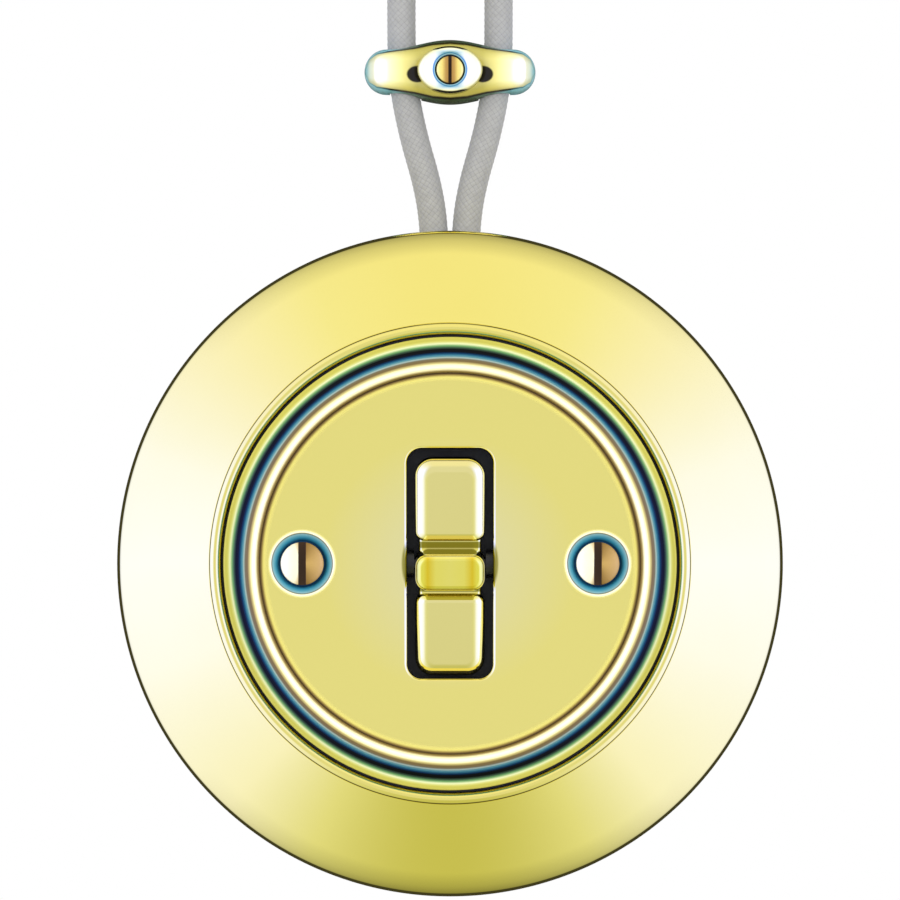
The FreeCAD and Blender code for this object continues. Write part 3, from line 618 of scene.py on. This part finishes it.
def braidedCord(name, side, material):
    path = routeLine(name + ".line", side)
    places, length = evenPlaces(path, cordSizes["step"] * mm)
    bm = bmesh.new()
    layer = bm.loops.layers.uv.new("sleeve")
    around = cordSizes["around"]
    rows = []
    facing = Vector((0, -1, 0))
    for i, place in enumerate(places):
        ahead = places[min(i + 1, len(places) - 1)] - places[max(i - 1, 0)]
        ahead.normalize()
        across = ahead.cross(facing).normalized()
        out = across.cross(ahead).normalized()
        along = length * i / (len(places) - 1)
        row = []
        for j in range(around):
            turn = 2 * math.pi * j / around
            lift = weaveHeight(j / around, along)
            away = (cordSizes["radius"] - cordSizes["sink"] + lift) * mm
            row.append(bm.verts.new(place + (across * math.cos(turn) + out * math.sin(turn)) * away))
        rows.append(row)
    girth = 2 * math.pi * cordSizes["radius"] * mm
    for i, (first, second) in enumerate(zip(rows, rows[1:])):
        for j in range(around):
            k = (j + 1) % around
            face = bm.faces.new((first[j], first[k], second[k], second[j]))
            ends = (j / around, (j + 1) / around, (j + 1) / around, j / around)
            heights = (i, i, i + 1, i + 1)
            for corner, u, v in zip(face.loops, ends, heights):
                corner[layer].uv = (u, length * v / (len(places) - 1) / girth)
    for row, place in ((rows[0], places[0]), (rows[-1], places[-1])):
        tip = bm.verts.new(place)
        for j in range(around):
            bm.faces.new((row[j], row[(j + 1) % around], tip))
    return toObject(name, bm, material, 180.0), path, length


def braidFabric():
    look = {"light": (0.43, 0.43, 0.42), "dark": (0.23, 0.23, 0.23), "gap": (0.22, 0.22, 0.22)}
    s = Shader("greyBraid")
    where = s.place(source="UV")
    turns = cordSizes["strands"]
    pitch = turns * 2 * math.pi * cordSizes["radius"] / cordSizes["lead"]
    u, v = where.part("x"), where.part("y")
    first = u * turns + v * pitch
    second = u * turns - v * pitch

    def edgeOf(value):  # 0 in the middle of a strand, 1 at its edge
        return abs(value - s.maths("FLOOR", value) - 0.5) * 2.0

    def sine(value):
        return s.maths("SINE", value)

    top = (sine(first * math.pi) * sine(second * math.pi)).above(0.0)
    edge = edgeOf(first) * top + edgeOf(second) * (1.0 - top)
    lines = sine(first * (math.pi * 12)) * top + sine(second * (math.pi * 12)) * (1.0 - top)
    threads = lines * 0.5 + 0.5
    fibre = s.noise(s.place(), 9000.0, 3.0, 0.7)
    patch = s.noise(s.place(), 900.0, 3.0, 0.65)
    shade = s.blend(patch * 0.7 + fibre * 0.25, look["light"], look["dark"])
    colour = s.blend(s.mask(edge, 0.72, 1.0), shade, look["gap"])
    normal = s.bump(threads * 0.6 + fibre * 0.5, 0.00003, 0.8)
    return s.finish(colour=colour, rough=s.spread(fibre, 0.72, 0.95), normal=normal, sheen=0.25)


sleeve = braidFabric()
cords = []
for cordName, side in (("cord_left", -1), ("cord_right", 1)):
    thing, path, length = braidedCord("braided." + cordName, side, sleeve)
    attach(thing, "switch")
    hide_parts(cordName)
    cords.append((thing, path, length, side))
print("cords braided, each", round(cords[0][2] * 1000, 1), "mm")


# housing

housingSizes = {
    "radius": 50.0, "depth": 33.2, "wall": 1.8, "edge": 1.6, "edgeSlope": 48.0, "domeSlope": 76.0,
    "collar": 36.0, "collarWidth": 1.8, "crest": 0.78, "crestFoot": 0.97, "crestSquash": 0.80,
    "ledgeDrop": 2.2, "ledgeWidth": 2.7, "ledgeThick": 1.6, "foot": 0.25, "exitGap": 1.2, "around": 320,
}


def housingProfile():
    h = housingSizes
    radius, depth, edge, collar = h["radius"], h["depth"], h["edge"], h["collar"]
    low, high = math.radians(h["edgeSlope"]), math.radians(h["domeSlope"])
    dome = (radius - edge + edge * math.cos(low) - collar) / (math.cos(low) - math.cos(high))
    side = depth - h["crestFoot"] - dome * (math.sin(high) - math.sin(low)) - edge * math.sin(low)
    domeCentre = (collar - dome * math.cos(high), depth - h["crestFoot"] - dome * math.sin(high))
    bead = h["collarWidth"] / 2
    inner = collar - h["collarWidth"]
    ledge = depth - h["ledgeDrop"]
    lip = inner - h["ledgeWidth"]
    under = ledge - h["ledgeThick"]
    thin = dome - h["wall"]
    underSlope = math.degrees(math.asin((under - domeCentre[1]) / thin))
    wallSlope = math.degrees(math.acos((radius - h["wall"] - domeCentre[0]) / thin))
    foot = (radius - h["foot"], h["foot"])
    points = [(foot[0], 0.0)] + arc(foot, h["foot"], -90, 0, 3)[1:]
    points += [(radius, 0.6), (radius, side * 0.5), (radius, side - 0.3)]
    points += arc((radius - edge, side), edge, 0, h["edgeSlope"], 16)
    points += arc(domeCentre, dome, h["edgeSlope"], h["domeSlope"], 44)[1:]
    points += arc((collar - bead, depth - h["crest"]), bead - 0.02, 0, 180, 14, h["crestSquash"])
    points += [(inner, depth - 0.9), (inner, ledge + 0.1), (inner - 0.1, ledge)]
    points += [(lip + 0.1, ledge), (lip, ledge - 0.1), (lip, under)]
    points += arc(domeCentre, thin, underSlope, wallSlope, 30)
    return points + [(radius - h["wall"], 0.0)]


def buildHousing():
    bm = bmesh.new()
    lathe(bm, housingProfile(), housingSizes["around"], closed=True)
    thing = toObject("housing.shell", bm, finishes["polished"])
    half = cordSizes["route"][0][0] + cordSizes["radius"] + housingSizes["exitGap"]
    top = cordSizes["rise"] + cordSizes["radius"] + housingSizes["exitGap"]
    arch = roundedOutline(-half, half, -2.0, top, (half * 0.6, half * 0.6, 0.02, 0.02), 10)
    carve(thing, [prism("cutter", "rubber", arch, [(0, 44.0), (0, 52.0)])])
    flatShadeSafe(thing)
    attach(thing, "switch")
    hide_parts("housing")


buildHousing()
print("housing turned")


# cover plate: bead, cove and flange round a flat face with its window and countersinks

coverSizes = {
    "flange": 33.8, "flangeBottom": 31.4, "flangeTop": 33.0, "step": 1.0, "cove": 2.0, "bead": 1.2,
    "beadRadius": 29.6, "beadHeight": 35.6, "face": 35.3, "back": 33.7, "windowWidth": 12.8,
    "windowHeight": 34.3, "corner": 2.2, "lip": 0.4, "screwPlace": 22.0, "sink": 4.5, "sinkFloor": 3.4,
    "shank": 1.65, "around": 320,
}


def buildCover():
    c = coverSizes
    bm = bmesh.new()
    count = c["around"]
    outerCove = c["flange"] - c["step"]
    coveTop = c["flangeTop"] + c["cove"]
    start = c["beadRadius"] - math.sqrt(c["bead"] ** 2 - (c["beadHeight"] - c["face"]) ** 2)
    dip = math.degrees(math.asin((c["beadHeight"] - c["face"]) / c["bead"]))
    profile = [(start - 0.12, c["face"]), (start - 0.02, c["face"])]
    profile += arc((c["beadRadius"], c["beadHeight"]), c["bead"], 180 + dip, 0, 30)
    profile += [(outerCove - c["cove"], c["beadHeight"] - 0.1), (outerCove - c["cove"], coveTop + 0.05)]
    profile += arc((outerCove, coveTop), c["cove"], 180, 270, 20)
    profile += [(outerCove + 0.05, c["flangeTop"]), (c["flange"] - 0.3, c["flangeTop"])]
    profile += arc((c["flange"] - 0.25, c["flangeTop"] - 0.25), 0.25, 90, 0, 5)
    profile += [(c["flange"], c["flangeBottom"] + 0.1), (c["flange"] - 0.1, c["flangeBottom"])]
    profile += [(c["beadRadius"] - 0.7, c["flangeBottom"]), (c["beadRadius"] - 0.7, c["back"])]
    rings = lathe(bm, profile, count)
    fronts, backs = [rings[0]], [rings[-1]]

    lip = c["lip"]
    half = c["windowWidth"] / 2
    tall = c["windowHeight"] / 2
    levels = [(lip + 0.08, c["face"]), (lip + 0.01, c["face"])]
    levels += [(lip * (1 - math.cos(math.radians(a))), c["face"] - lip * (1 - math.sin(math.radians(a))))
               for a in range(90, -1, -15)]
    levels += [(0.0, c["face"] - lip - 0.05), (0.0, c["back"])]
    last = None
    for grow, height in levels:
        outline = roundedOutline(-half - grow, half + grow, -tall - grow, tall + grow,
                                 [c["corner"] + grow] * 4, 14)
        loop = addLoop(bm, [(x, -height, z) for x, z in outline])
        if last:
            bridgeLoops(bm, last, loop)
        else:
            fronts.append(loop)
        last = loop
    backs.append(last)

    for side in (-1, 1):
        sink = [(c["sink"] + 0.28, c["face"]), (c["sink"] + 0.16, c["face"])]
        sink += [(c["sink"] + 0.16 * math.sin(turn), c["face"] - 0.10 * (1 - math.sin(turn)))
                 for turn in (math.radians(a) for a in (70, 45, 20))]
        sink += [(c["sink"] - 0.05, c["face"] - 0.14), (c["sinkFloor"], c["back"] + 0.4)]
        sink += [(c["shank"], c["back"] + 0.4), (c["shank"], c["back"])]
        loops = lathe(bm, sink, 96, side * c["screwPlace"])
        fronts.append(loops[0])
        backs.append(loops[-1])
    fillBetween(bm, fronts)
    fillBetween(bm, backs)
    thing = toObject("cover.plate", bm, finishes["cover"], 38.0)
    flatShadeSafe(thing)
    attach(thing, "switch")
    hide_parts("cover_plate")


buildCover()
print("cover plate shaped")


# screws: one turned screw set out by a node tree

def turnedScrew(name, k):
    # its seat is at height 0, with the head in front of it
    head, rim, dome, soft = k["head"], k["rim"], k["dome"], 0.12
    profile = [(0.0, -k["tip"]), (k["shank"], -k["tip"]), (k["shank"], 0.0)]
    profile += [(head, 0.0), (head, rim - soft)]
    profile += arc((head - soft, rim - soft), soft, 0, 60, 3)
    crown = [(0.93, 0.18), (0.8, 0.42), (0.6, 0.70), (0.35, 0.91), (0.15, 0.985), (0.0, 1.0)]
    profile += [(head * share, rim + dome * rise) for share, rise in crown]
    bm = bmesh.new()
    lathe(bm, profile, 96)
    thing = toObject(name, bm, finishes["turned"])
    groove = roundedOutline(-k["slot"] / 2, k["slot"] / 2, rim + dome - k["depth"], rim + dome + 2,
                            (0.02, 0.02, 0.1, 0.1), 4)
    carve(thing, [prism("groove", "turned", groove, [(0, -head - 1), (0, head + 1)])])
    return thing


def screwRowTree():
    tree = bpy.data.node_groups.new("screwRow", "GeometryNodeTree")
    for name, kind in (("Screw", "Geometry"), ("Count", "Int"), ("Start", "Vector"), ("Offset", "Vector"),
                       ("Turn each", "Float"), ("Finish", "Material")):
        tree.interface.new_socket(name, in_out="INPUT", socket_type="NodeSocket" + kind)
    tree.interface.new_socket("Screws", in_out="OUTPUT", socket_type="NodeSocketGeometry")
    nodes, links = tree.nodes, tree.links
    given = nodes.new("NodeGroupInput").outputs
    row = nodes.new("GeometryNodeMeshLine")
    row.mode = "OFFSET"
    turn = nodes.new("ShaderNodeMath")
    turn.operation = "MULTIPLY"
    index, spin, copies, realize, paint, done = (nodes.new(kind) for kind in (
        "GeometryNodeInputIndex", "ShaderNodeCombineXYZ", "GeometryNodeInstanceOnPoints",
        "GeometryNodeRealizeInstances", "GeometryNodeSetMaterial", "NodeGroupOutput"))
    for start, end in (
            (given["Count"], row.inputs["Count"]), (given["Start"], row.inputs["Start Location"]),
            (given["Offset"], row.inputs["Offset"]), (row.outputs["Mesh"], copies.inputs["Points"]),
            (given["Screw"], copies.inputs["Instance"]), (index.outputs["Index"], turn.inputs[0]),
            (given["Turn each"], turn.inputs[1]), (turn.outputs[0], spin.inputs["Y"]),
            (spin.outputs[0], copies.inputs["Rotation"]), (copies.outputs["Instances"], realize.inputs[0]),
            (realize.outputs[0], paint.inputs["Geometry"]), (given["Finish"], paint.inputs["Material"]),
            (paint.outputs[0], done.inputs[0])):
        links.new(start, end)
    return tree


screwRow = screwRowTree()


def setOut(thing, count, start, offset, turnEach, finish):
    modifier = thing.modifiers.new("row", "NODES")
    modifier.node_group = screwRow
    values = {"Count": count, "Start": start, "Offset": offset, "Turn each": turnEach, "Finish": finish}
    for item in screwRow.interface.items_tree:
        if item.item_type == "SOCKET" and item.in_out == "INPUT" and item.name in values:
            modifier[item.identifier] = values[item.name]
    thing.update_tag()
    settle(thing)
    smooth(thing.data)


coverScrewSizes = {"head": 3.2, "rim": 1.3, "dome": 0.45, "shank": 1.5, "tip": 4.5, "slot": 1.15,
                   "depth": 1.0, "seat": 34.1, "turnEach": 0.03}


def buildCoverScrews():
    k = coverScrewSizes
    screw = turnedScrew("cover.screws", k)
    place = coverSizes["screwPlace"] * mm
    setOut(screw, 2, (-place, -k["seat"] * mm, 0), (2 * place, 0, 0), k["turnEach"], finishes["turned"])
    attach(screw, "switch")
    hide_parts("cover_screw_left", "cover_screw_right")


buildCoverScrews()
print("cover screws set")


# toggle: two cushions, a neck and the nose, tilted to its rest

toggleSizes = {
    "pivot": 31.3, "face": 35.9, "bottom": 32.3, "half": 5.15, "end": 16.3, "padStart": 3.95, "corner": 2.6,
    "innerCorner": 1.4, "neck": 4.65, "valley": 34.3, "noseHalf": 2.75, "nose": 40.7, "tilt": 9.0,
    "sideRound": 1.7, "endRound": 1.8, "valleyRound": 1.2, "drop": 1.2,
}


def tiltedPlace():
    pivot = Vector((0, -toggleSizes["pivot"] * mm, 0))
    turn = Matrix.Rotation(math.radians(toggleSizes["tilt"]), 4, "X")
    return Matrix.Translation(pivot) @ turn @ Matrix.Translation(-pivot)


def cushion(name, left, right, low, high, radii, bottom, top, widths, drop, steps=10):
    # widths: how far the rounding reaches in from the left, right, low and high sides
    bm = bmesh.new()
    loops = []

    def ring(share, height):
        wl, wr, wd, wu = [w * share for w in widths]
        shrink = [max(r - min(widths) * share, 0.05) for r in radii]
        outline = roundedOutline(left + wl, right - wr, low + wd, high - wu, shrink, 12)
        loops.append(addLoop(bm, [(x, -height, z) for x, z in outline]))

    base = 0.3
    for a in (90, 60, 30, 0):
        share = (1 - math.cos(math.radians(a))) * base / max(widths)
        ring(share, bottom + base * (1 - math.sin(math.radians(90 - a)) if a else 1))
    for i in range(steps + 1):
        turn = math.radians(90 * i / steps)
        ring(1 - math.cos(turn), top - drop * (1 - math.sin(turn)))
    ring(1.05, top)
    stack(bm, loops)
    return toObject(name, bm, finishes["toggle"])


def buildToggle():
    t = toggleSizes
    half, bottom = t["half"], t["bottom"]
    outer, inner = [t["corner"]] * 2, [t["innerCorner"]] * 2
    sides = (t["sideRound"], t["sideRound"])
    pads = [
        cushion("pad", -half, half, -t["end"], -t["padStart"], inner + outer, bottom, t["face"],
                (*sides, t["endRound"], t["valleyRound"]), t["drop"]),
        cushion("pad", -half, half, t["padStart"], t["end"], outer + inner, bottom, t["face"],
                (*sides, t["valleyRound"], t["endRound"]), t["drop"])]
    tall = t["padStart"] + 1.4
    neck = cushion("toggle.rocker", -t["neck"], t["neck"], -tall, tall, [0.3] * 4, bottom, t["valley"],
                   [0.5] * 4, 0.5, 6)
    nose = cushion("nose", -half, half, -t["noseHalf"], t["noseHalf"], [1.9] * 4, bottom, t["nose"],
                   (0.95, 0.95, 0.85, 0.85), 0.95)
    carve(neck, pads + [nose], "UNION")
    neck.data.transform(tiltedPlace())
    flatShadeSafe(neck)
    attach(neck, "rocker")
    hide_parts("toggle")


buildToggle()
print("toggle fitted")


# plunger spring, attached to the plunger's body

springSizes = {"radius": 1.275, "wire": 0.225, "turns": 6, "low": 22.745, "rise": 6.41, "travel": 1.2,
               "steps": 32, "around": 10}


def buildSpring():
    k = springSizes
    count = k["turns"] * k["steps"]
    climb = k["rise"] / (2 * math.pi * k["turns"] * k["radius"])
    section = [2 * math.pi * j / k["around"] for j in range(k["around"])]
    bm = bmesh.new()
    loops = []
    for i in range(count + 1):
        turn = 2 * math.pi * i / k["steps"]
        out = Vector((math.cos(turn), 0, math.sin(turn)))
        side = Vector((-math.sin(turn), -climb, math.cos(turn))).normalized().cross(out)
        centre = out * k["radius"] - Vector((0, k["low"] + k["rise"] * i / count, 0))
        ring = [centre + (out * math.cos(a) + side * math.sin(a)) * k["wire"] for a in section]
        loops.append(addLoop(bm, ring))
    stack(bm, loops)
    spring = toObject("plunger.spring", bm, finishes["springSteel"])
    place = tiltedPlace()
    spring.data.transform(place)
    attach(spring, "plunger_body")
    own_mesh(spring)
    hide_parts("plunger_spring")


buildSpring()
print("plunger spring coiled")


# cable bridge: two arms over the cords and an oval boss with its screw

bridgeSizes = {
    "centre": 75.2, "half": 13.1, "width": 4.9, "endRadius": 3.4, "height": 7.0, "dip": 0.9, "bossLong": 5.0,
    "bossWide": 3.6, "boss": 8.8, "sink": 2.85, "seat": 7.3, "hole": 2.3, "around": 128, "square": 4.2,
    "peak": 8.2, "bow": 2.6, "stations": 120, "fit": 0.15,
}
bridgeScrewSizes = {"head": 2.05, "rim": 1.2, "dome": 0.2, "shank": 1.3, "tip": 7.3, "slot": 0.5,
                    "depth": 0.7}


def bridgeWidth(x):
    b = bridgeSizes
    endCentre = b["half"] - b["endRadius"]
    share = abs(x) / endCentre
    if share <= 1:
        return b["endRadius"] + (b["width"] - b["endRadius"]) * (0.5 + 0.5 * math.cos(math.pi * share))
    past = (abs(x) - endCentre) / b["endRadius"]
    return b["endRadius"] * math.sqrt(max(0.0, 1 - past * past))


def bridgeCrest(x):
    b = bridgeSizes
    if abs(x) <= b["peak"]:
        return b["height"] - b["dip"] * (0.5 + 0.5 * math.cos(math.pi * abs(x) / b["peak"]))
    past = (abs(x) - b["peak"]) / (b["half"] - b["peak"])
    return b["height"] * max(0.0, 1 - past ** b["bow"]) ** (1 / b["bow"])


def groovePast(height):  # the half round that a cord lies in
    wide = cordSizes["radius"] + bridgeSizes["fit"]
    return [(-wide, -1.0)] + arc((0, height), wide, 180, 0, 24) + [(wide, -1.0)]


def buildBridge():
    b = bridgeSizes
    bm = bmesh.new()
    rows = []
    for i in range(1, b["stations"]):
        x = -b["half"] * math.cos(math.pi * i / b["stations"])
        wide, crest = bridgeWidth(x), bridgeCrest(x)
        row = []
        for j in range(b["around"] // 2 + 1):
            turn = math.pi * j / (b["around"] // 2)
            z = wide * math.copysign(abs(math.cos(turn)) ** (2 / b["square"]), math.cos(turn))
            row.append((x, -crest * math.sin(turn) ** (2 / b["square"]), b["centre"] + z))
        rows.append(addLoop(bm, row))
    for first, second in zip(rows, rows[1:]):
        for j in range(len(first)):
            k = (j + 1) % len(first)
            bm.faces.new((first[j], first[k], second[k], second[j]))
    for end, row in ((-1, rows[0]), (1, rows[-1])):
        tip = bm.verts.new(Vector((end * b["half"], 0.0, b["centre"])) * mm)
        for j in range(len(row)):
            bm.faces.new((row[j], row[(j + 1) % len(row)], tip))
    thing = toObject("bridge.clip", bm, finishes["bridge"])

    oval = bmesh.new()
    profile = [(0.98, 1.0), (1.0, 1.2), (1.0, b["boss"] - 1.0)]
    profile += [(1 - 0.16 * (1 - math.cos(turn)), b["boss"] - 0.8 * (1 - math.sin(turn)))
                for turn in (math.radians(a) for a in range(15, 91, 15))]
    profile += [(0.80, b["boss"])]
    turns = [2 * math.pi * i / 96 for i in range(96)]
    stack(oval, [addLoop(oval, [(b["bossLong"] * share * math.cos(turn), -height,
                                 b["centre"] + b["bossWide"] * share * math.sin(turn)) for turn in turns])
                 for share, height in profile])
    carve(thing, [toObject("boss", oval, finishes["bridge"])], "UNION")

    drill = bmesh.new()
    lathe(drill, [(0, -1), (1.4, -1), (1.4, b["seat"]), (b["hole"], b["seat"]), (b["hole"], b["boss"] - 0.45),
                  (b["sink"], b["boss"] + 0.02), (b["sink"] + 0.4, b["boss"] + 1), (0, b["boss"] + 1)],
          96, 0, b["centre"])
    cutters = [toObject("drill", drill, finishes["bridge"])]
    for side in (-1, 1):
        x = side * cordSizes["route"][4][0]
        ends = [(x + side * lean, b["centre"] + along)
                for along, lean in ((-7, -0.95), (0, -0.12), (7, 0.08))]
        cutters.append(prism("channel", "bridge", groovePast(cordSizes["rise"]), ends))
    carve(thing, cutters)
    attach(thing, "switch")
    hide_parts("cable_bridge")

    screw = turnedScrew("bridge.screw", bridgeScrewSizes)
    setOut(screw, 1, (0, -b["seat"] * mm, b["centre"] * mm), (0, 0, 0), 0.0, finishes["turned"])
    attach(screw, "switch")
    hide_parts("bridge_screw")
    return [thing, screw]


bridgePieces = buildBridge()
print("bridge formed")


# wall rosette above, where the cords end

rosetteSizes = {"centre": 105.4, "radius": 17.0, "depth": 12.0, "side": 4.0, "flat": 2.0, "wall": 1.5,
                "steps": 22, "around": 192}
rosetteScrewSizes = {"head": 2.9, "rim": 1.1, "dome": 0.3, "shank": 1.6, "tip": 8.5, "slot": 0.8,
                     "depth": 0.8}


def buildRosette():
    r = rosetteSizes
    radius, depth, wall, side, flat = r["radius"], r["depth"], r["wall"], r["side"], r["flat"]
    outer = [(radius - 0.2, 0.0), (radius, 0.2), (radius, side / 2), (radius, side)]
    dome, thin = [], []
    for i in range(1, r["steps"]):
        turn = math.pi / 2 * i / r["steps"]
        across = flat + (radius - flat) * math.cos(turn) ** 0.9
        height = side + (depth - side) * math.sin(turn) ** 0.8
        dome.append((across, height))
        thin.append((max(flat, across - wall * math.cos(turn)), height - wall * math.sin(turn)))
    inner = [(radius - wall, side), (radius - wall, 0.0)]
    profile = outer + dome + [(flat, depth), (flat, depth - wall)] + thin[::-1] + inner
    bm = bmesh.new()
    lathe(bm, profile, r["around"], 0, r["centre"], closed=True)
    thing = toObject("rosette.shell", bm, finishes["polished"])
    ends = [cordSizes["route"][-1][0] * side for side in (-1, 1)]
    notch = groovePast(cordSizes["rise"])
    carve(thing, [prism("notch", "polished", notch, [(x, 84.0), (x, 93.5)]) for x in ends])
    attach(thing, "switch")
    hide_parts("wall_rosette")
    screw = turnedScrew("rosette.screw", rosetteScrewSizes)
    setOut(screw, 1, (0, -depth * mm, r["centre"] * mm), (0, 0, 0), 0.0, finishes["turned"])
    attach(screw, "switch")
    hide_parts("rosette_screw")
    return [thing, screw]


rosettePieces = buildRosette()
print("rosette formed")

for thing, path, length, side in cords:
    x = cordSizes["route"][1][0] * side * mm


# finishes of the pieces that keep their own shape

nodeFinishes = {
    "rubber": ["cover_gasket", "cable_grommet"],
    "ceramic": ["mounting_base"],
    "zincSteel": ["pillars", "pillar_screws", "yoke_screws", "mechanism_screws", "core_screws",
                  "cord_clamp_screws", "rosette_plate"],
    "springSteel": ["support_yoke", "cord_clamp", "fulcrum_pin"],
    "darkSteel": ["toggle_pin"],
    "plainBrass": ["contact_blade", "fulcrum_post", "fixed_contact_bar", "line_terminal", "load_terminal",
                   "terminal_screws", "earth_terminal", "earth_screw"],
    "silver": ["moving_contact", "fixed_contact"],
    "moulding": ["mechanism_body", "rocker_core"],
    "nylon": ["plunger"],
    "brown": ["line_conductor"],
    "blue": ["load_conductor"],
    "green": ["earth_conductor_left", "earth_conductor_right"],
}
for finish, names in nodeFinishes.items():
    for name in names:
        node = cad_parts[name]
        if not node.data.materials:
            node.data.materials.append(finishes[finish])
        for slot in node.material_slots:
            slot.material = finishes[finish]
print("inner pieces finished")


# floor and light

studio = {
    "front": (0.80, 0.82, 0.86), "behind": (0.05, 0.05, 0.045), "room": 0.92, "floor": (0.45, -0.13),
    "lamps": [("softboxLeft", -0.9), ("softboxRight", 0.9)], "lampSize": 0.7, "lampPower": 9.0,
    "around": [(0.0, (0.60, 0.62, 0.34)), (0.05, (0.80, 0.84, 0.85)), (0.13, (1.0, 1.06, 2.1)),
               (0.33, (1.05, 1.17, 3.4)), (0.5, (1.06, 1.20, 3.9)), (0.67, (1.05, 1.17, 3.4)),
               (0.86, (1.0, 1.03, 1.8)), (0.95, (0.97, 0.98, 1.1)), (1.0, (0.96, 0.95, 0.92))],
}


def buildStudio():
    floor = bpy.data.meshes.new("floor")
    half, level = studio["floor"]
    corners = [(x * half, y * half, level) for x, y in ((-1, -1), (1, -1), (1, 1), (-1, 1))]
    floor.from_pydata(corners, [], [(0, 1, 2, 3)])
    ground = bpy.data.objects.new("floor", floor)
    bpy.context.scene.collection.objects.link(ground)
    pale = Shader("paleFloor")
    floor.materials.append(pale.finish(colour=(0.86, 0.86, 0.86), rough=0.8))
    ground.visible_glossy = False

    world = bpy.data.worlds.new("studio")
    bpy.context.scene.world = world
    world.use_nodes = True
    tree = world.node_tree
    tree.nodes.clear()
    s = Shader.__new__(Shader)
    s.tree = tree
    where = s.node("ShaderNodeTexCoord", {}, {}, "Generated")
    angle = s.maths("ARCCOSINE", where.part("y") * -1.0) / math.pi
    rise = where.part("z")
    up = rise / distance(s, rise, where.part("x"), 0.0001)
    tone = s.ramp(up * 0.5 + 0.5, studio["around"])
    dusk = s.ramp(angle, greys((0.0, 1), (0.40, 1), (0.455, 0.70), (0.475, 0.5)))
    shaded = s.blend(s.mask(up * up, 0.40, 1.0), tone, s.blend(1.0, tone, dusk, "MULTIPLY"))
    ring = s.blend(s.mask(angle, 0.07, 0.17), studio["front"], shaded)
    colour = s.blend(s.mask(angle, 0.478, 0.525), ring, studio["behind"])
    mirrored, white, room = (
        s.node("ShaderNodeBackground", {}, {"Color": shade, "Strength": strength})
        for shade, strength in ((colour, 1.0), ((1, 1, 1), 1.0), ((1, 1, 1), studio["room"])))
    glossy = s.node("ShaderNodeLightPath", {}, {}, "Is Glossy Ray")
    seen = s.node("ShaderNodeLightPath", {}, {}, "Is Camera Ray")
    lit = s.node("ShaderNodeMixShader", {}, {0: glossy, 1: room, 2: mirrored})
    mixed = s.node("ShaderNodeMixShader", {}, {0: seen, 1: lit, 2: white})
    output = tree.nodes.new("ShaderNodeOutputWorld")
    tree.links.new(mixed.socket, output.inputs["Surface"])

    for name, across in studio["lamps"]:
        place = Vector((across, -1.1, 0.35))
        data = bpy.data.lights.new(name, "AREA")
        data.size = studio["lampSize"]
        data.energy = studio["lampPower"]
        lamp = bpy.data.objects.new(name, data)
        bpy.context.scene.collection.objects.link(lamp)
        lamp.location = place
        lamp.rotation_euler = (-place).to_track_quat("-Z", "Y").to_euler()
        lamp.visible_glossy = False
    bpy.context.scene.view_settings.view_transform = "Standard"


buildStudio()
print("studio lit")
